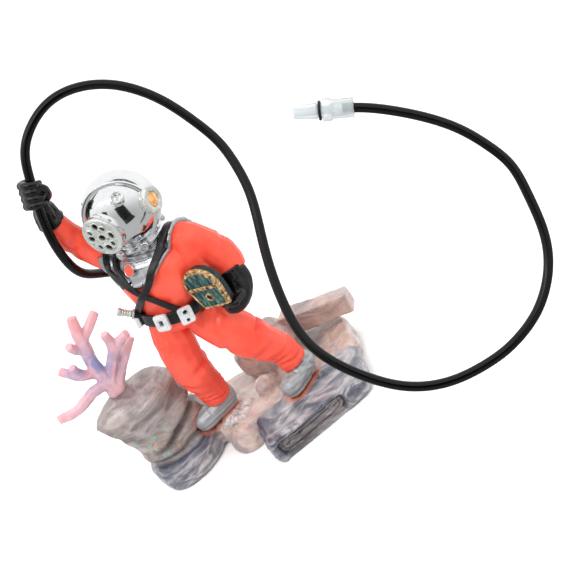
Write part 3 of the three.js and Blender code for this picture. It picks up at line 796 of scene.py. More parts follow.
# ---------------------------------------------------------------- pieces
def piece(name, shape, material, stands_for=(), body=BASE, values=None, sharp=38):
    """A finished object from a shape in millimetres. It rides on body, or on none yet where body is None."""
    mesh = bpy.data.meshes.new(name)
    mesh.from_pydata((shape[0] * MM).tolist(), [], shape[1])
    mesh.validate()
    work = bmesh.new()
    work.from_mesh(mesh)
    bmesh.ops.recalc_face_normals(work, faces=work.faces)
    work.to_mesh(mesh)
    work.free()
    mesh.shade_smooth()
    mesh.set_sharp_from_angle(angle=math.radians(sharp))
    for key, amounts in (values or {}).items():
        mesh.attributes.new(key, "FLOAT", "POINT").data.foreach_set("value", np.asarray(amounts, np.float32))
    mesh.materials.append(material)
    made = linked(name, mesh)
    if stands_for:
        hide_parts(*stands_for)
    if body:
        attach(made, body)
    return made


def turned(name, outline, corner, sides, frame_of_it, material, stands_for=(), body=BASE):
    """A piece turned about the Z of a frame, from a half outline with its corners rounded."""
    return piece(name, moved(lathe(rounded(outline, corner), sides), frame_of_it), material, stands_for, body)


# ---- Rock base ----
LOW_ROCKS = ("rock_slab_left", "rock_block_front", "sand_bed", "rock_lobe_front", "rock_slab_right")
REAR_ROCKS = ("rear_boulder", "rear_beam", "round_stone")
PALETTE = {
    "slate": ("rock_slab_left", "rock_block_front"),
    "brown": ("rock_slab_right",) + REAR_ROCKS,
    "sand": ("sand_bed", "rock_lobe_front"),
}


def low_high(node):
    low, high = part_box(node)
    return np.array(low) / MM, np.array(high) / MM


GROOVE_DEPTH = 2.4


def front_groove(points):
    """The long rounded recess in the straight front face of the front block, as a depth."""
    low, high = low_high("rock_block_front")
    width, height = high[0] - low[0], high[2] - low[2]
    half_length, half_height = 0.34 * width, 0.46 * height
    dx = points[:, 0] - (low[0] + 0.36 * width) + 1.2 * noise(points, 6, 72)
    dz = points[:, 2] - (low[2] + 0.45 * height) + 0.9 * noise(points, 7, 71)
    straight = half_length - half_height
    reach = np.hypot(np.maximum(np.abs(dx) - straight, 0), dz)
    facing = np.clip((low[1] + 3.5 - points[:, 1]) / 2.0, 0, 1)
    hollow = np.clip((half_height - reach) / 0.8, 0, 1)
    ridges = 0.8 * bell(reach - 0.52 * half_height, 0.4) + 0.6 * bell(reach - 0.15 * half_height, 0.4)
    return facing * (GROOVE_DEPTH * hollow - ridges)


def rock_base():
    nodes = LOW_ROCKS + REAR_ROCKS + ("rock_pillar",)
    solids = {n: cad_shape(n) for n in nodes}
    shape = fused(joined(*[swollen(s, 0.25) for s in solids.values()]), 0.5, 7)
    points, faces = shape
    near = {n: bell(distances(points, s), 1.6) + 1e-9 for n, s in solids.items()}
    total = sum(near.values())
    share = {key: sum(near[n] for n in members) / total for key, members in PALETTE.items()}
    pillar = near["rock_pillar"] / total
    beam = near["rear_beam"] / total
    strata = points * np.array([1, 1, 2.0])
    height = 0.7 * rough(strata, 12, 2, 1) + 0.28 * rough(points, 4.5, 2, 5)
    height += pillar * (0.8 * rough(strata, 9, 2, 9) + pillar_creases(points))
    height += share["slate"] * 0.25 * layers(points)
    height *= 1 - 0.5 * beam
    groove = front_groove(points)
    height -= groove
    slab = crust(points)
    height += slab * (1.0 + 0.4 * rough(points, 1.6, 3, 23))
    height *= np.clip(points[:, 2] / 0.8, 0, 1)
    points, faces = raised(shape, height)
    points[:, 2] = np.maximum(points[:, 2], 0.0)
    shoes = joined(cad_shape("boot_right"), cad_shape("boot_left"))
    glue = 0.95 * bell(np.maximum(distances(points, shoes) - 1.2, 0), 0.9) * (1 - 0.7 * pillar)
    low, high = low_high("rock_pillar")
    lower_left = np.clip((high[0] - 6 - points[:, 0]) / 14, 0, 1) * np.clip((26 - points[:, 2]) / 8, 0, 1)
    # The share of painted shade in the front block's recess, from how deep the groove goes.
    recess = np.clip((groove - 0.6) / 1.4, 0, 1) * 0.85
    values = dict(share, glue=glue, spots=pillar * lower_left, recess=recess, crust=slab)
    piece("rock_base", (points, faces), ROCK, nodes, values=values)


CRUST_PLACE, CRUST_TURN, CRUST_HALF = (-9.6, 4.0), math.radians(-32), (5.6, 4.6)


def crust(points):
    """A loose grey slab that lies aslant on the sand between the boots, as a share from 0 to 1."""
    dx, dy = points[:, 0] - CRUST_PLACE[0], points[:, 1] - CRUST_PLACE[1]
    along = (dx * math.cos(CRUST_TURN) + dy * math.sin(CRUST_TURN)) / CRUST_HALF[0]
    across = (dy * math.cos(CRUST_TURN) - dx * math.sin(CRUST_TURN)) / CRUST_HALF[1]
    reach = np.maximum(np.abs(along), np.abs(across)) + 0.1 * noise(points, 2.5, 61)
    return np.clip((1 - reach) / 0.12, 0, 1) * np.clip((points[:, 2] - 6.5) / 0.6, 0, 1)


STRATUM = 2.6  # thickness of one layer in the low rocks
PILLAR_CREASES = (  # height, slope, depth, width, and where each starts from the left
    (12.5, 0.36, 2.2, 1.3, 8),
    (8.6, 0.1, 1.0, 0.8, 4),
    (22.0, 0.2, 0.4, 1.2, 3),
)


def layers(points):
    """Thin wavy strata on the sides of the low rocks."""
    wave = points[:, 2] + 1.2 * noise(points, 12, 41)
    return np.sin(2 * math.pi * wave / STRATUM)


def pillar_creases(points):
    """Undercuts that climb across the pillar: a deep one below its crown, and two smaller ones."""
    low, _ = low_high("rock_pillar")
    x, z = points[:, 0] - low[0], points[:, 2]
    wave = 0.8 * noise(points, 8, 51)
    total = np.zeros(len(points))
    for rise, slope, depth, width, start in PILLAR_CREASES:
        off = z - rise - slope * (x - 12) - wave
        across = np.clip((x - start) / 6, 0, 1)
        total += across * depth * (0.45 * bell(off - 2.4 * width, 1.6 * width) - bell(off, width))
    return total


# ---- Coral ----
def coral():
    shape = fused(swollen(cad_shape("coral"), 0.28), 0.4, 12)
    points, faces = shape
    height = 0.28 * rough(points, 4.5, 2, 3) + 0.1 * noise(points, 1.3, 8)
    low, high = low_high("coral")
    root = np.array([low[0] + 0.57 * (high[0] - low[0]), (low[1] + high[1]) / 2, low[2]])
    away = np.linalg.norm((points - root) * (1, 1, 0.75), axis=1)
    tip = 0.75 * np.clip((away - 14) / 9, 0, 1)
    middle = root + np.array([-1.5, 0, 0.42 * (high[2] - low[2])])
    blue = bell(np.linalg.norm((points - middle) * (0.8, 1, 1), axis=1), 7.5)
    foot = bell(points[:, 2] - low[2], 2.0)
    shape = raised(shape, height + 0.5 * foot)
    piece("coral_branches", shape, CORAL, ("coral",), values={"tip": tip, "blue": blue})


# ---- The diver ----
SUIT_NODES = ("suit_torso", "suit_leg_right", "suit_leg_left", "suit_arm_right", "suit_arm_left")
# Folds: place along the limb from its first end, direction faced, spread, slope, depth, width.
LEG_RIGHT_FOLDS = (
    (30.0, -20, 60, 2.6, 0.35, 1.7),
    (17.5, 30, 60, 1.8, 0.45, 1.5),
    (12.5, -50, 55, -1.8, 0.4, 1.3),
    (15.0, 140, 60, 1.0, 0.4, 1.6),
    (26.0, 180, 60, -2.0, 0.35, 1.8),
)
LEG_LEFT_FOLDS = (
    (30.0, 10, 60, 3.0, 0.35, 1.7),
    (16.5, 60, 55, 2.0, 0.5, 1.5),
    (12.5, -30, 55, -2.2, 0.45, 1.3),
    (21.5, -70, 50, 1.6, 0.35, 1.5),
    (18.0, 170, 60, -1.6, 0.4, 1.7),
)
ARM_RIGHT_FOLDS = (
    (17.0, -30, 60, 1.5, 0.35, 1.4),
    (10.0, 150, 60, 1.0, 0.4, 1.6),
)
ARM_LEFT_FOLDS = (
    (9.0, 120, 60, -2.0, 0.35, 1.5),
    (15.5, -60, 60, 1.4, 0.3, 1.5),
)


def folded(points, share, node, direction, folds):
    """The folds of one limb as heights, kept to the points that belong to it."""
    own = share > 0.02
    run, angle = about(points[own], spine(cad_shape(node)[0], direction))
    total = sum(crease(run, angle, *fold) for fold in folds)
    height = np.zeros(len(points))
    height[own] = total
    return height * share, own, run, angle


def suit():
    solids = {n: cad_shape(n) for n in SUIT_NODES}
    armpit = moved(ball(1.0, 24, (4.6, 4.6, 10.0)), placed((12.6, -11.2, 66.0), -50, 6))
    shape = fused(joined(armpit, *[swollen(s, 0.22) for s in solids.values()]), 0.42, 30)
    points, faces = shape
    near = {n: bell(distances(points, s), 1.3) + 1e-9 for n, s in solids.items()}
    total = sum(near.values())
    share = {n: near[n] / total for n in SUIT_NODES}
    height = 0.35 * rough(points, 11, 2, 2)
    for node, direction, folds, stack in (
        ("suit_leg_right", (0, 0, 1), LEG_RIGHT_FOLDS, (-0.5, 8.5, 4)),
        ("suit_leg_left", (0, 0, 1), LEG_LEFT_FOLDS, (-0.5, 9.5, 4)),
        ("suit_arm_right", (0, 0, 1), ARM_RIGHT_FOLDS, None),
        ("suit_arm_left", (0, 0, -1), ARM_LEFT_FOLDS, None),
    ):
        folds_here, own, run, angle = folded(points, share[node], node, direction, folds)
        height += folds_here
        if stack:
            height[own] += share[node][own] * ring_folds(run, angle, *stack)
    height += share["suit_torso"] * torso_folds(within(TORSO, points))
    shape = tucked(raised(shape, height), breastplate_shape(), 0.5)
    piece("suit", shape, SUIT, SUIT_NODES, sharp=70)
    return shape


TUCK_REACH, TUCK_MOST = 1.6, 1.4  # how near the cover a point must be, and how far it may be pressed in


def tucked(shape, cover, depth):
    """A shape with the points that stand near or through the outside of a cover pressed in below it."""
    points, faces = shape
    normals = point_normals(points, faces)
    tree = finder(cover)
    press = np.zeros(len(points))
    for k, (point, normal) in enumerate(zip(points, normals)):
        near, facing, _, reach = tree.find_nearest(Vector(point))
        if reach < TUCK_REACH and facing.dot(Vector(normal)) > 0.6:
            press[k] = min(TUCK_MOST, max(0.0, (Vector(point) - near).dot(facing) + depth))
    return points - normals * press[:, None], faces


def torso_folds(local):
    """Soft pulls in the cloth that run out from under the straps and the arm."""
    x, y, z = local.T
    front = np.clip(-y / 4, 0, 1)
    back = np.clip(y / 4, 0, 1)
    height = -0.45 * front * bell(z - 4.2 - 0.4 * (x - 4), 1.3) * bell(x - 5, 4)
    height -= 0.35 * front * bell(x + 3.5 - 0.4 * (z - 5), 1.4) * bell(z - 4, 3)
    height -= 0.4 * back * bell(z - 6 - 0.2 * np.abs(x), 1.5) * bell(x, 7)
    height -= 0.35 * back * bell(np.abs(x) - 7 + 0.3 * z, 1.5) * bell(z - 9, 4)
    return height


def boots():
    for side in ("right", "left"):
        solid = f"boot_{side}"
        shape = fused(swollen(cad_shape(solid), 0.2), 0.3, 16)
        points = shape[0]
        low, high = low_high(solid)
        up = points[:, 2] - low[2]
        sole = 0.38 / (1 + np.exp((up - 1.5) / 0.12)) - 0.3 * bell(up - 1.75, 0.22)
        line = spine(points, (1, 0.2, 0) if side == "right" else (0.83, 0.56, 0))
        run, angle = about(points, line, (0, 0, 1))
        straps = -0.3 * bell(run - 0.33 * run.max(), 0.25) - 0.3 * bell(run - 0.52 * run.max(), 0.25)
        height = sole + straps * bell(angle, 70) + 0.12 * rough(points, 4, 3, 6)
        piece(f"boot_{side}_cast", raised(shape, height), BOOT, (solid,), sharp=60)


# ---- Gloves ----
FINGER_TURNS = (165, 120, 75, 30, -15, -48)  # degrees about the hose along each finger
FINGER_SIZES = (1.25, 1.42, 1.2, 1.3, 1.12, 0.95)
THUMB = ((3.4, -150, -4.2), (3.7, -105, -2.2), (3.9, -62, 0.2), (3.7, -28, 2.0))  # places beside the hose
THUMB_SIZES = (1.7, 1.6, 1.35, 1.05)


def fist_frame(hose):
    """A frame in the fist: Z along the hose, -Y towards the viewer."""
    place = hose[-1] + (hose[-12] - hose[-1]) * 0.95
    return pointing(place, hose[-1] - hose[-12], (0.0, 1.0, 0.0))


def around_hose(radius, degrees, height):
    """A place beside the hose: 0 degrees is towards the viewer, 90 is towards the fingers' roots."""
    a = math.radians(degrees)
    return (-radius * math.sin(a), -radius * math.cos(a), height)


def right_glove(hose):
    """A gauntlet with its fingers closed round the hose."""
    points, faces = swollen(cad_shape("glove_right"), 0.2)
    low, high = low_high("glove_right")
    hand = np.clip((points[:, 2] - low[2] - 6.5) / 3, 0, 1)[:, None]
    centre = np.array([hose[-14][0] - 0.2, hose[-14][1] + 3.0, 0])
    points = points + hand * ((centre - points) * (0.3, 0.42, 0))
    parts = [(points, faces)]
    grip = fist_frame(hose)
    for k in range(4):
        height = (k - 1.5) * 2.15 - 0.4
        line = [around_hose(2.9, a, height + 0.12 * math.sin(math.radians(a))) for a in FINGER_TURNS]
        parts.append(moved(finger(line, FINGER_SIZES), grip))
        parts.append(moved(ball(1.45, 16), grip @ placed(around_hose(3.1, 98, height), 0)))
    parts.append(moved(finger([around_hose(*place) for place in THUMB], THUMB_SIZES), grip))
    shape = fused(joined(*parts), 0.22, 10)
    points = shape[0]
    run, angle = about(points, spine(cad_shape("glove_right")[0], (0, 0, 1)))
    cuff = np.clip((7.5 - run) / 3, 0, 1)
    pleats = np.sin(np.radians(angle * 6 + 40 * noise(points, 5, 4)))
    height = cuff * (0.26 * pleats * np.clip(run / 2, 0, 1) + 0.3 * bell(run - 0.6, 0.9))
    height -= 0.3 * bell(run - 7.6, 0.9)
    height += 0.12 * rough(points, 3, 2, 12)
    piece("glove_right_cast", raised(shape, height), GLOVE, ("glove_right",), sharp=80)


def left_glove():
    """A gauntlet that carries the chest from below and behind."""
    parts = [swollen(cad_shape("glove_left"), 0.2)]
    for k in range(4):
        y = 1.2 + 1.35 * k
        line = [(6.2, y + 0.5, -1.5), (4.4, y, -1.35), (2.6, y, -1.25), (1.2 + 0.3 * k, y, -1.2)]
        parts.append(moved(finger(line, (1.1, 1.0, 0.9, 0.8)), CHEST))
    shape = fused(joined(*parts), 0.3, 24)
    points = shape[0]
    run, angle = about(points, spine(cad_shape("glove_left")[0], (0, 0, -1)))
    cuff = np.clip((9 - run) / 4, 0, 1)
    pleats = np.sin(np.radians(angle * 4 + 50 * noise(points, 7, 14)))
    height = cuff * (0.2 * pleats * np.clip(run / 2.5, 0, 1) + 0.3 * bell(run - 0.8, 1.0))
    height += 0.12 * rough(points, 6, 2, 16)
    piece("glove_left_cast", raised(shape, height), GLOVE, ("glove_left",), sharp=80)


# ---- Harness ----
PLATE_CENTRE, PLATE_RADIUS = (0.4, 25.4), 12.0  # the round lower edge of the breastplate, in X and Z
# Each strap's way over the body from belt to belt, in the torso's frame: up the front, then down the back.
STRAP_WAYS = {
    "right": (
        (9.4, -4.2, 0.6), (8.0, -5.6, 2.5), (5.9, -7.8, 5.8), (4.7, -9.2, 8.4), (1.9, -10.4, 10.6),
        (0.0, -11.4, 13.4), (-3.9, -10.6, 15.8), (-8.0, -9.0, 17.6), (-10.4, -7.4, 20.0), (-10.6, -6.4, 24.0),
        (-9.0, -1.0, 26.4), (-8.0, 7.0, 22.0), (-4.5, 10.5, 15.0), (1.0, 10.6, 8.0), (6.0, 8.6, 0.8),
    ),
    "inner": (
        (0.6, -11.2, 12.6), (-1.4, -11.0, 15.4), (-3.4, -9.9, 17.6), (-6.4, -7.8, 20.2), (-7.8, -4.6, 23.4),
        (-7.6, 0.0, 25.4), (-7.4, 3.0, 25.2),
    ),
    "left": (
        (-8.8, -6.0, 0.8), (-6.2, -8.0, 3.4), (-2.6, -9.2, 6.4), (1.8, -10.6, 10.3), (5.0, -10.6, 13.8),
        (8.2, -8.6, 17.6), (9.6, -4.2, 21.6), (10.4, 0.4, 25.2), (10.0, 5.0, 26.2), (9.0, 9.0, 21.0),
        (4.4, 11.0, 13.5), (-1.0, 10.6, 7.6), (-6.0, 8.6, 0.8),
    ),
}
STRAPS = {"right": (2.1, 0.45), "inner": (1.5, 0.4), "left": (2.4, 0.5)}  # width, lift off the body
FRONT = Vector((0, -0.906, 0.423))  # from the diver towards a viewer in front and above
# The breastplate where it goes up the right side to the shoulder: an outer and an inner strip.
PLATE_RIM = (
    (-4.6, -11.0, 13.9), (-8.0, -9.8, 14.8), (-10.8, -8.6, 16.6), (-11.7, -7.8, 19.6), (-11.4, -7.6, 23.4),
)
PLATE_BIB = ((-1.6, -11.2, 14.6), (-5.0, -9.6, 17.4), (-8.4, -7.8, 20.0), (-9.4, -6.4, 24.4))
CONE = (  # the step between breastplate and neck, up the torso
    (6.2, 19.4), (9.6, 18.8), (10.0, 19.3), (9.3, 20.2), (8.6, 20.9), (8.75, 21.3), (8.2, 21.7), (7.7, 22.2),
    (7.8, 22.6), (7.2, 22.9), (6.2, 22.9), (6.2, 19.4),
)
RIVET = ((0, -0.3), (0.55, -0.3), (0.55, 0.15), (0.3, 0.45), (0, 0.5))


def eased(values, rounds):
    """Values along a line, smoothed, with both ends kept."""
    values = values.copy()
    for _ in range(rounds):
        values[1:-1] = (values[:-2] + 2 * values[1:-1] + values[2:]) / 4
    return values


def laid(tree, way, lift):
    """A line brought onto the nearest places of a body, and the outward directions there."""
    places, outward = [], []
    for point in spline(at(TORSO, way), 0.6):
        near, normal, _, _ = tree.find_nearest(Vector(point))
        hit, slope, _, _ = tree.ray_cast(Vector(point) + 20 * FRONT, -FRONT)
        if normal.dot(FRONT) > 0 and hit and (hit - near).length < 2.5:
            near, normal = hit, slope
        places.append(np.array(near))
        outward.append(np.array(normal))
    places, outward = eased(np.array(places), 24), unit(eased(np.array(outward), 24))
    return places + outward * lift, outward


def breastplate_shape():
    """The plated corselet, thicker at its round rim."""
    plate = fused(swollen(cad_shape("corselet"), 0.2), 0.28, 24)
    local = within(TORSO, plate[0])
    reach = np.hypot(local[:, 0] - PLATE_CENTRE[0], local[:, 2] - PLATE_CENTRE[1])
    return raised(plate, 0.4 * bell(PLATE_RADIUS - 0.6 - reach, 0.5))


def harness(body):
    """Breastplate, rivets, crossed straps and belt, laid on the body's surface."""
    plate = breastplate_shape()
    piece("breastplate", plate, SATIN, ("corselet",), sharp=60)
    tree = finder(joined(body, plate))
    middle = at(TORSO, (1.8, -10.6, 10.3))
    for side, way in STRAP_WAYS.items():
        width, lift = STRAPS[side]
        path, outward = laid(tree, way, lift)
        if side == "left":
            near_cross = bell(np.linalg.norm(path - middle, axis=1), 2.8)
            path = path + outward * (0.6 * near_cross)[:, None]
        shape = swept(path, band(width, 1.0, 0.35), outward)
        stands_for = () if side == "inner" else (f"strap_{side}_shoulder",)
        piece(f"strap_{side}", shape, STRAP, stands_for)
    sides = []
    for way, width in ((PLATE_RIM, 2.2), (PLATE_BIB, 2.8)):
        path, outward = laid(tree, way, 0.0)
        sides.append(swept(path, band(width, 0.9, 0.3), outward))
    piece("plate_side", joined(*sides), SATIN)
    turned("plate_neck", CONE, 0.25, 72, TORSO @ placed((1.1, -0.3, 0), 0), SATIN)
    studs, plate_tree = [], finder(plate)
    for degrees in (232, 250, 268, 290, 308):
        a = math.radians(degrees)
        reach = PLATE_RADIUS - 1.6
        spot = at(TORSO, (PLATE_CENTRE[0] + reach * math.cos(a), -12, PLATE_CENTRE[1] + reach * math.sin(a)))
        near, normal, _, _ = plate_tree.find_nearest(Vector(spot))
        studs.append(moved(lathe(rounded(RIVET, 0.12), 18), pointing(np.array(near), np.array(normal))))
    piece("plate_rivets", joined(*studs), CHROME)
    path, outward = girdle(finder(body))
    belt = swept(path + outward * 0.7, band(4.0, 1.2, 0.3), outward, looped=True)
    piece("belt", belt, STRAP, ("waist_belt",))


def girdle(tree):
    """Places and level outward directions round the waist, where the belt's middle plane cuts the body."""
    places, outward = [], []
    for a in np.radians(np.arange(0, 360, 3)):
        ray = np.array([math.sin(a), -math.cos(a), 0])
        heading = TORSO[:3, :3] @ -ray
        hit, normal, _, _ = tree.ray_cast(Vector(at(TORSO, 40 * ray)), Vector(heading))
        places.append(np.array(hit))
        outward.append(np.array(normal))
    up = TORSO[:3, 2]
    outward = np.array(outward)
    return eased(np.array(places), 4), unit(outward - np.outer(outward @ up, up))


def badge():
    centre = np.mean(cad_shape("badge")[0], 0)
    facing = pointing(centre, TORSO[:3, :3] @ np.array([0, -math.cos(0.44), math.sin(0.44)]))
    bezel = [(1.7, -1.2), (2.05, -1.2), (2.05, 0.1), (1.9, 0.25), (1.7, 0.1), (1.7, -1.2)]
    turned("badge_bezel", bezel, 0.12, 48, facing, CHROME)
    disc = [(0, -1.0), (1.76, -1.0), (1.76, 0.1), (1.2, 0.35), (0.5, 0.43), (0, 0.45)]
    turned("badge_disc", disc, 0.15, 48, facing, SUIT, ("badge",))


def weight_frame(node):
    """The frame of a belt weight: Y outwards, Z up the torso."""
    points = cad_shape(node)[0]
    centre = np.mean(points, 0)
    local = within(TORSO, [centre])[0]
    up = TORSO[:3, 2]
    wide = max(
        (unit(p - q) for p in points for q in points if 4.6 < np.linalg.norm(p - q) < 5.0),
        key=lambda d: np.linalg.norm(d - up * (d @ up)),
    )
    out = unit(np.cross(up, wide))
    if out @ (TORSO[:3, :3] @ (local * (1, 1, 0))) < 0:
        wide, out = -wide, -out
    matrix = np.eye(4)
    matrix[:3, 0], matrix[:3, 1], matrix[:3, 2], matrix[:3, 3] = wide, -out, up, centre
    return matrix


def belt_weights():
    """Lead weights of three patterns: a round pair of holes, a square frame and rows of small holes."""

    def hole(radius, x, z):
        return moved(lathe([(0, -3), (radius, -3), (radius, 3), (0, 3)], 28), pointing((x, 0, z), (0, 1, 0)))

    def collar(radius, x, z):
        ring = [(radius, 0.0), (radius + 0.35, 0.0), (radius + 0.35, 0.35), (radius, 0.35), (radius, 0.0)]
        return moved(lathe(rounded(ring, 0.12), 28), pointing((x, -0.8, z), (0, -1, 0)))

    corners = [(-2.3, -2.8), (2.3, -2.8), (2.3, 2.8), (-2.3, 2.8), (-2.3, -2.8)]
    plate = prism(rounded(corners, 1.0, 5), -0.75, 0.75, 0.3, 3)
    pair = joined(drilled(plate, hole(0.75, 0, 1.35), hole(0.6, 0, -1.5)), collar(0.8, 0, 1.35))
    window = moved(block(1.5, 4, 2.0, 0.15, 1), placed((0, 0, 0.1), 0))
    frame_rim = drilled(
        moved(block(3.3, 0.6, 4.0, 0.2, 2), placed((0, -0.75, 0.1), 0)),
        moved(block(2.5, 2, 3.2, 0.15, 1), placed((0, -0.9, 0.1), 0)),
    )
    square = joined(drilled(plate, window), frame_rim)
    dots = [hole(0.38, x, z) for x in (-1.1, 1.1) for z in (-1.9, 0.0, 1.9)]
    rows = drilled(plate, *dots)
    patterns = {1: rows, 2: square, 3: pair, 4: pair, 5: square, 6: rows}
    for number, pattern in patterns.items():
        node = f"belt_weight_{number}"
        piece(f"weight_{number}", moved(pattern, weight_frame(node)), LEAD, (node,))
        clip = moved(block(2.9, 0.9, 5.0, 0.2, 2), weight_frame(node) @ placed((0, 0.95, 0), 0))
        piece(f"weight_clip_{number}", clip, STRAP)


def knife():
    """A ribbed handle that stands out of its sheath."""
    direction = TORSO[:3, :3] @ unit((-0.68, -0.5, 0.53))
    start = at(TORSO, (-9.6, -9.4, 3.4)) - 2.0 * direction
    ribs = [(0.95 + 0.25 * abs(math.sin(math.pi * z / 0.8)), z) for z in np.arange(0.8, 4.0, 0.13)]
    handle = [(0, 0), (1.6, 0), (1.7, 0.3), (1.6, 0.6), (1.0, 0.65)] + ribs
    handle += [(1.3, 4.2), (1.4, 4.7), (1.2, 5.2), (0.6, 5.4), (0, 5.45)]
    shape = moved(lathe(handle, 40), pointing(start, direction))
    piece("knife", shape, PALE, ("knife_handle",))
    ends = [start + direction * 0.1, start - direction * 1.4, start - direction * 2.6 + (0.6, 0, -0.6)]
    sheath = finger(ends, (1.25, 1.25, 1.0))
    piece("knife_sheath", fused(sheath, 0.25, 3), STRAP)


# ---- Helmet ----
DOME_RADIUS = 12.3
SHELL_FACING = (0.44, -0.89, 0.02)  # the axis of the front shell, in the head's frame
SHELL_EDGE = 65  # degrees from that axis to the seam between the shells
FACE_PITCH = 2
PLATE_FRONT = 13.35  # the perforated plate's front, from the dome's centre
FACE = HEAD @ np.array(Matrix.Rotation(math.radians(90 + FACE_PITCH), 4, "X"))


def helmet_dome():
    """A plated dome in two shells, the rear one lapping over the front one."""
    outer = []
    for degrees in np.concatenate([np.arange(0, 60, 3), np.arange(60, 76, 0.5), np.arange(76, 181, 3)]):
        past = degrees - SHELL_EDGE
        lap = 0.5 / (1 + math.exp(-past / 0.45))
        lip = 0.28 * math.exp(-(((past - 2.2) / 1.6) ** 2))
        gap = 0.22 * math.exp(-(((past + 1.1) / 0.8) ** 2))
        radius = DOME_RADIUS - 0.5 + lap + lip - gap
        a = math.radians(degrees)
        outer.append((max(0.0, radius * math.sin(a)), radius * math.cos(a)))
    outer[0], outer[-1] = (0.0, outer[0][1]), (0.0, outer[-1][1])
    shell = moved(lathe(outer[::-1], 96), HEAD @ pointing((0, 0, 0), SHELL_FACING))
    hollow = moved(ball(DOME_RADIUS - 1.4, 48), HEAD)
    neck = moved(lathe([(0, -18), (6.0, -18), (6.0, 0), (0, 0)], 48), HEAD)
    face = moved(lathe([(0, 0), (5.1, 0), (5.1, 20), (0, 20)], 48), FACE)
    shape = drilled(shell, hollow, neck, face)
    made = piece("helmet_shell", shape, CHROME, ("helmet_dome",), sharp=50)
    made.data.materials.append(SEAL)
    centre = Vector(HEAD[:3, 3]) * MM
    for polygon in made.data.polygons:
        if (polygon.center - centre).length < (DOME_RADIUS - 1.2) * MM:
            polygon.material_index = 1


def worn_holes():
    """The raised rims of the plate's uneven holes, one amid eight, and the shapes that cut them."""
    spots = [(0.3, 0.0, 1.25)]
    for number in range(8):
        a = math.radians(45 * number + 7 * math.sin(2.6 * number))
        reach = 4.0 + 0.25 * math.sin(4.1 * number)
        spots.append((reach * math.cos(a), reach * math.sin(a), 1.1 + 0.16 * math.sin(3.3 * number + 1)))
    rims, holes = [], []
    for number, (x, y, size) in enumerate(spots):
        spun = placed((x, y, 0), 0) @ np.array(Matrix.Rotation(1.3 * number, 4, "Z"))
        oval = spun @ np.diag([1.0, 0.84, 1.0, 1.0])
        rim = [(size, -0.4), (size + 0.42, -0.4), (size + 0.3, 0.3), (size + 0.05, 0.35), (size, -0.4)]
        rims.append(moved(lathe(rounded([(r, z + PLATE_FRONT) for r, z in rim], 0.1), 24), oval))
        hole = [(0, 11), (size - 0.02, 11), (size - 0.02, 16), (0, 16)]
        holes.append(moved(lathe(hole, 20), oval))
    return rims, holes


def pits():
    """Shapes that cut small dents into the plate, by turns near its middle and near its edge."""
    made = []
    for number in range(8):
        a = math.radians(20 + 45 * number)
        reach = 2.3 if number % 2 else 5.2
        slot = moved(ball(0.42, 14, (1.7, 0.8, 1.0)), np.array(Matrix.Rotation(0.9 * number, 4, "Z")))
        made.append(moved(slot, placed((reach * math.cos(a), reach * math.sin(a), PLATE_FRONT + 0.1), 0)))
    return made


def face_plate():
    """The round port in front, closed by a perforated plate."""
    port = [(5.3, 9.4), (6.6, 9.6), (6.2, 10.4), (6.15, 11.4), (6.5, 12.1), (5.3, 12.2), (5.3, 9.4)]
    turned("port_tube", port, 0.35, 72, FACE, CHROME, ("face_port",))
    plate = [(0, 12.2), (6.4, 12.2), (6.8, 12.6), (6.8, 13.1), (6.45, 13.5), (6.0, 13.45), (5.7, 13.2)]
    plate += [(4.3, 13.35), (2.2, 13.5), (0, 13.55)]
    rims, holes = worn_holes()
    shape = fused(joined(lathe(rounded(plate, 0.2), 72), *rims), 0.14, 3)
    points, faces = drilled(shape, *holes, *pits())
    points[:, 2] += 0.08 * noise(points, 2.0, 5) * np.clip(points[:, 2] - 12.6, 0, 1)
    inside = np.hypot(points[:, 0], points[:, 1]) < 5.6
    values = {"hole": np.clip((PLATE_FRONT - 0.15 - points[:, 2]) / 0.3, 0, 1) * inside}
    shape = moved((points, faces), FACE)
    piece("face_grille_plate", shape, PALE, ("face_grille",), values=values, sharp=55)


def side_ports():
    for side, sign in (("left", 1), ("right", -1)):
        turn, swing = math.radians(4 * sign), math.radians(90 * sign)
        facing = HEAD @ np.array(Matrix.Rotation(turn, 4, "Z") @ Matrix.Rotation(swing, 4, "Y"))
        rim = [(2.4, 10.4), (4.3, 10.4), (4.1, 11.3), (4.35, 12.2), (4.4, 13.0), (4.0, 13.4), (3.3, 13.45)]
        rim += [(2.6, 13.25), (2.4, 12.9), (2.4, 10.4)]
        turned(f"port_rim_{side}", rim, 0.25, 64, facing, PALE, (f"side_port_{side}",))
        glass = [(0, 12.2), (2.42, 12.2), (2.42, 12.9), (1.7, 13.1), (0.9, 13.2), (0, 13.22)]
        turned(f"port_glass_{side}", glass, 0.2, 48, facing, AMBER, (f"side_window_{side}",))


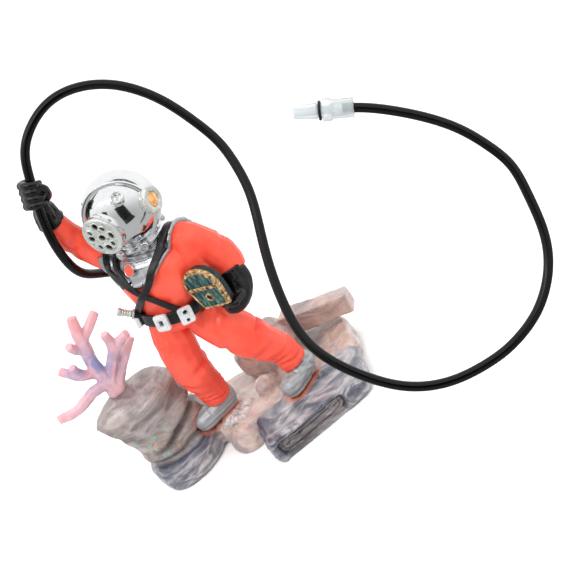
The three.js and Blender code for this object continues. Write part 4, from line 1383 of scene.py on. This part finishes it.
def helmet_fittings():
    """Valve, neck ring, collar, bolts and the small studs round the dome."""
    tilt = Matrix.Rotation(math.radians(51), 4, "Z") @ Matrix.Rotation(math.radians(55), 4, "X")
    valve = [(0, 11.1), (2.2, 11.1), (2.35, 11.9), (1.9, 12.4), (1.95, 12.9), (2.25, 13.3), (2.1, 13.8)]
    valve += [(1.65, 14.0), (1.35, 13.6), (1.2, 12.9), (0.9, 12.8), (0.45, 12.8), (0.35, 13.2), (0, 13.25)]
    turned("valve_cup", valve, 0.2, 48, HEAD @ np.array(tilt), CHROME, ("exhaust_valve",))
    ring = [(5.2, -11.9), (7.8, -11.9), (8.3, -11.5), (8.3, -10.8), (7.7, -10.4), (7.8, -9.9), (7.2, -9.5)]
    ring += [(5.2, -9.5), (5.2, -11.9)]
    turned("neck_flange", ring, 0.2, 72, HEAD, CHROME, ("neck_ring",))
    collar = [(5.2, -14.3), (7.7, -14.3), (7.8, -13.9), (7.1, -13.5), (7.4, -13.0), (6.9, -12.6)]
    collar += [(7.2, -12.1), (5.2, -11.9), (5.2, -14.3)]
    turned("neck_steps", collar, 0.2, 72, HEAD, CHROME, ("neck_collar",))
    nut = [(0, -0.9), (1.5, -0.9), (1.6, 0.3), (1.3, 0.7), (0.85, 0.7), (0.7, 0.3), (0.45, 0.3), (0.4, 0.8)]
    nut += [(0, 0.85)]
    for number in range(1, 5):
        centre = np.mean(cad_shape(f"neck_bolt_{number}")[0], 0)
        local = within(HEAD, [centre])[0]
        facing = pointing(centre, HEAD[:3, :3] @ (local * (1, 1, 0)))
        turned(f"neck_nut_{number}", nut, 0.12, 32, facing, CHROME, (f"neck_bolt_{number}",))
    lug = [(0, -0.5), (0.62, -0.5), (0.62, 0.25), (0.4, 0.55), (0, 0.6)]
    axis = HEAD @ pointing((0, 0, 0), SHELL_FACING)
    edge = math.radians(SHELL_EDGE + 5)
    studs = []
    for a in np.radians(np.arange(10, 360, 60)):
        away = np.array([math.cos(a) * math.sin(edge), math.sin(a) * math.sin(edge), math.cos(edge)])
        studs.append(moved(lathe(rounded(lug, 0.15), 18), axis @ pointing(away * DOME_RADIUS, away)))
    piece("dome_studs", joined(*studs), CHROME)


# ---- Treasure chest ----
CHEST_HALF, CHEST_DEPTH, BOX_HEIGHT, CHEST_TOP = 6.4, 3.9, 7.5, 14.1
PLANK_WIDTH = 1.85
LID_GAP = 0.15


def grooves(points, faces, spacing, depth):
    """Plank joints cut into the front of a panel."""
    front = np.clip((1.0 - points[:, 1]) / 0.5, 0, 1)
    off = (points[:, 0] + spacing / 2) % spacing - spacing / 2
    points = points.copy()
    points[:, 1] += front * depth * bell(off, 0.22)
    return points, faces


def chest():
    """A chest of teal planks with worn tan bands, dark behind its front rim."""
    foot = CHEST_HALF - 1.1
    box_outline = [(-foot, 0.0), (foot, 0.0), (CHEST_HALF, BOX_HEIGHT), (-CHEST_HALF, BOX_HEIGHT)]
    lid_foot = BOX_HEIGHT + LID_GAP
    lid_outline = [(x, z + lid_foot) for x, z in arch_outline(CHEST_HALF, CHEST_TOP - lid_foot, 0.8)]
    for part, outline in (("box", box_outline), ("lid", lid_outline)):
        solid = fused(prism(outline, 0.35, CHEST_DEPTH, 0.3), 0.2, 4)
        points, faces = grooves(*solid, PLANK_WIDTH, 0.35)
        height = 0.12 * rough(points, 1.8, 3, 7)
        shaded = np.clip((points[:, 1] - 0.8) / 0.8, 0, 1)
        shape = moved(raised((points, faces), height), CHEST)
        piece(f"chest_{part}_planks", shape, CHEST_TEAL, (f"chest_{part}",),
              values={"shaded": shaded}, sharp=70)
    bands = [gold_band(outline, 0.75) for outline in (box_outline, lid_outline)]
    bands.append(side_band(box_outline, lid_outline, 0.9))
    shape = fused(joined(*bands), 0.13, 3)
    height = 0.12 * rough(shape[0], 0.8, 3, 17)
    piece("chest_bands", moved(raised(shape, height), CHEST), GOLD, sharp=70)
    ring = [(0.95, -0.5), (1.5, -0.5), (1.5, 0.15), (1.25, 0.4), (0.95, 0.2), (0.95, -0.5)]
    facing = CHEST @ pointing((0, 0.1, 3.9), (0, -1, 0))
    turned("chest_ring", ring, 0.15, 40, facing, GOLD, ("chest_latch_ring",))
    core = [(0, -0.4), (1.0, -0.4), (1.0, 0.0), (0.5, -0.15), (0, -0.2)]
    piece("chest_ring_core", moved(lathe(core, 32), facing), SEAL)


def gold_band(outline, width):
    """A flat rim just inside a panel's outline, on its front face."""
    line = [np.array([x, 0.3, z]) for x, z in outline]
    middle = np.mean(line, 0)
    path = np.array([p + unit(middle - p) * width * 0.6 for p in line])
    path = even(np.concatenate([path, path[:1]]), 0.4)[:-1]
    outward = np.tile((0.0, -1.0, 0.0), (len(path), 1))
    return swept(path, band(width, 0.35, 0.1), outward, looped=True)


def side_band(box_outline, lid_outline, y):
    """A hoop round the sides and top of the chest."""
    left_foot, right_foot, right_top, left_top = box_outline
    corners = [left_foot, left_top, *reversed(lid_outline[2:]), right_top, right_foot]
    path = even(np.array([(x, y, z) for x, z in corners]), 0.4)
    middle = np.array([0, y, BOX_HEIGHT])
    return swept(path, band(1.3, 0.35, 0.12), unit(path - middle))


# ---- Airline ----
HOSE_RADIUS = 1.5
HOSE_STEP = 0.5  # between the places on the hose's middle line
RING_POINTS = 16  # a whole ring of a hose node has this many points, ten outside and six in the bore
BEND_REACH = 9.0  # length of hose on each side of a joint that the span across it takes in
INLET = (-0.7, 8.6, 62.5)  # where the hose enters the diver's back
HOSE_NODES = ("hose_through_hand", "hose_over_head", "hose_past_base", "hose_rising_loop", "hose_free_end")
HOSE_BODIES = (BASE, "hose_upper", "hose_middle", "hose_lower", "hose_end")
HOSE_JOINTS = tuple(j["name"] for j in frame["joints"])  # in order along the hose


def joint_at(name):
    return np.array([j["pos_m"] for j in frame["joints"] if j["name"] == name][0]) / MM


def ring_centres(node):
    """The middles of a hose node's whole rings of points."""
    places = cad_shape(node)[0]
    waiting, centres = list(range(len(places))), []
    while waiting:
        group, open_ends = [], [waiting.pop(0)]
        while open_ends:
            here = open_ends.pop()
            group.append(here)
            near = [k for k in waiting if np.linalg.norm(places[k] - places[here]) < 1.25]
            open_ends += near
            waiting = [k for k in waiting if k not in near]
        if len(group) == RING_POINTS:
            centres.append(places[group].mean(0))
    return centres


def chained(start, centres):
    """Places in order from start, each the nearest to the one before."""
    left, line = list(centres), [np.asarray(start, float)]
    while left:
        nearest = min(range(len(left)), key=lambda k: np.linalg.norm(left[k] - line[-1]))
        line.append(left.pop(nearest))
    return line


def hose_path():
    """The middle line of the whole airline from the diver's back, and the place of each joint on it."""
    line = [np.array(INLET, float)]
    joints = []
    for node, joint in zip(HOSE_NODES, HOSE_JOINTS):
        line = line[:-1] + chained(line[-1], ring_centres(node)) + [joint_at(joint)]
        joints.append(line[-1])
    path = eased(spline(line, HOSE_STEP), 160)
    return path, [int(np.argmin(np.linalg.norm(path - j, axis=1))) for j in joints]


def airline(path, joints):
    """The hose: stiff spans that ride on their bodies, and spans that cross the joints and ride on no body.
    """
    reach = int(BEND_REACH / HOSE_STEP)
    ring = circle(HOSE_RADIUS, 28)
    normal = carried_normal(unit(np.gradient(path, axis=0)))
    cuts = [0] + [k for j in joints[:-1] for k in (j - reach, j + reach)] + [joints[-1]]
    for number, (node, body) in enumerate(zip(HOSE_NODES, HOSE_BODIES)):
        first, last = cuts[2 * number], cuts[2 * number + 1] + 1
        shape = swept(path[first:last], ring, normal[first:last])
        piece(f"hose_span_{number + 1}", shape, HOSE, (node,), body, sharp=50)
    for number, (body, next_body) in enumerate(zip(HOSE_BODIES, HOSE_BODIES[1:])):
        first, last = cuts[2 * number + 1], cuts[2 * number + 2] + 1
        shape = swept(path[first:last], ring, normal[first:last])
        bend = piece(f"hose_bend_{number + 1}", shape, HOSE, (), None, sharp=50)
        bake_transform(bend)


def nozzle():
    """The clear adaptor in the end of the hose and its seal ring."""
    axis = [j["axis"] for j in frame["joints"] if j["name"] == "fitting_turn"][0]
    facing = pointing(joint_at("fitting_turn"), axis)
    taper = [(1, 3.9), (1, 14.6), (1.9, 14.6), (2.6, 7.6), (1.9, 7.5), (1.9, 6.1)]
    socket = [(3.5, 5.9), (3.5, 3.6), (3, 3), (3, -3.4), (1.8, -3.4), (1.8, 3.9), (1, 3.9)]
    turned("nozzle_clear", taper + socket, 0.18, 64, facing, CLEAR, ("nozzle_adaptor",), "fitting")
    ring = [(2.05, 6.3), (3.0, 6.3), (3.0, 7.2), (2.05, 7.2), (2.05, 6.3)]
    turned("seal", ring, 0.3, 48, facing, SEAL, ("seal_ring",), "fitting")


def hidden_parts():
    """Pieces inside the figure keep their CAD shape and get their finish."""
    for node, material in (("air_inlet_barb", CLEAR), ("inner_air_tube", CLEAR), ("bubble_stone", POROUS)):
        mesh = frame["nodes"][node].data
        mesh.materials.clear()
        mesh.materials.append(material)


# ---------------------------------------------------------------- stage
def sheet(name, corners, material):
    """A flat object of the stage, from four corners in metres."""
    mesh = bpy.data.meshes.new(name)
    mesh.from_pydata(corners, [], [(0, 1, 2, 3)])
    mesh.materials.append(material)
    made = linked(name, mesh)
    return made


def stage():
    """A floor just below the ornament, left out of the plating's reflections."""
    corners = [(x, y, -0.0002) for x, y in ((-4, -4), (4, -4), (4, 4), (-4, 4))]
    sheet("floor", corners, floor_paint()).visible_glossy = False


def lamp(name, place, target, size, power, mirrored=False):
    light = bpy.data.lights.new(name, "AREA")
    light.shape, light.energy = "RECTANGLE", power
    light.size, light.size_y = size
    made = linked(name, light)
    made.location = place
    made.rotation_mode = "QUATERNION"
    made.rotation_quaternion = (Vector(target) - Vector(place)).to_track_quat("-Z", "Y")
    made.visible_glossy = mirrored


def lights(target):
    lamp("key", (-0.35, -0.6, 1.0), target, (0.6, 0.6), 7)
    lamp("strip", (-0.3, -0.35, 0.9), target, (0.9, 0.08), 1.2, True)
    lamp("fill", (0.8, -0.5, 0.6), target, (0.8, 0.8), 3)
    lamp("top", (0.0, 0.3, 1.1), target, (0.9, 0.9), 4)


def world():
    """A studio that is white above and behind the ornament and grey on the viewer's side."""
    made = bpy.data.worlds.new("studio")
    bpy.context.scene.world = made
    made.use_nodes = True
    tree = made.node_tree
    back = tree.nodes["Background"]
    direction = tree.nodes.new("ShaderNodeTexCoord").outputs["Generated"]
    height = tree.nodes.new("ShaderNodeVectorMath")
    height.operation = "DOT_PRODUCT"
    tree.links.new(direction, height.inputs[0])
    height.inputs[1].default_value = (0.25, 0.5, 0.83)
    white = tree.nodes.new("ShaderNodeMapRange")
    white.interpolation_type = "SMOOTHSTEP"
    tree.links.new(height.outputs["Value"], white.inputs["Value"])
    for key, value in (("From Min", -0.5), ("From Max", 0.5), ("To Min", 0.6), ("To Max", 1.25)):
        white.inputs[key].default_value = value
    tree.links.new(white.outputs["Result"], back.inputs["Color"])
    back.inputs["Strength"].default_value = 0.85


def dark_cards():
    """Black cards on the viewer's side, seen only as reflections in the plated parts."""
    p = Paint("card_black")
    black = p.finish("#030303", 0.9)
    sheets = {
        "card_upright": [(-0.13, -0.5, 0.0), (0.15, -0.5, 0.0), (0.15, -0.5, 0.42), (-0.13, -0.5, 0.42)],
        "card_flat": [(-0.12, -0.5, 0.001), (0.14, -0.5, 0.001), (0.08, -0.2, 0.001), (-0.05, -0.2, 0.001)],
        "card_side": [(-0.5, -0.25, 0.0), (-0.42, -0.42, 0.0), (-0.42, -0.42, 0.5), (-0.5, -0.25, 0.5)],
    }
    for name, corners in sheets.items():
        card = sheet(name, corners, black)
        card.visible_camera = card.visible_diffuse = card.visible_shadow = card.visible_transmission = False


def camera():
    """The view from 25 degrees above, rolled so that the ornament leans to the upper left."""
    elevation, roll, distance, lens = math.radians(25), math.radians(-39), 600 * MM, 120
    target = Vector((29.1, -10.9, 38.4)) * MM
    back = Vector((0, -math.cos(elevation), math.sin(elevation)))
    made = linked("camera", bpy.data.cameras.new("camera"))
    made.data.lens, made.data.sensor_width = lens, 36
    made.location = target + back * distance
    made.rotation_mode = "QUATERNION"
    aim = (-back).to_track_quat("-Z", "Y")
    made.rotation_quaternion = aim @ Matrix.Rotation(roll, 3, "Z").to_quaternion()
    bpy.context.scene.camera = made
    return target


hose, hose_joints = hose_path()
held_hose = hose[: hose_joints[0] + 1]
rock_base()
coral()
diver_body = suit()
boots()
right_glove(held_hose)
left_glove()
harness(diver_body)
badge()
belt_weights()
knife()
helmet_dome()
face_plate()
side_ports()
helmet_fittings()
chest()
airline(hose, hose_joints)
nozzle()
hidden_parts()
stage()
world()
dark_cards()
lights(camera())
bpy.context.scene.view_settings.view_transform = "Standard"
bpy.context.scene.cycles.use_denoising = True
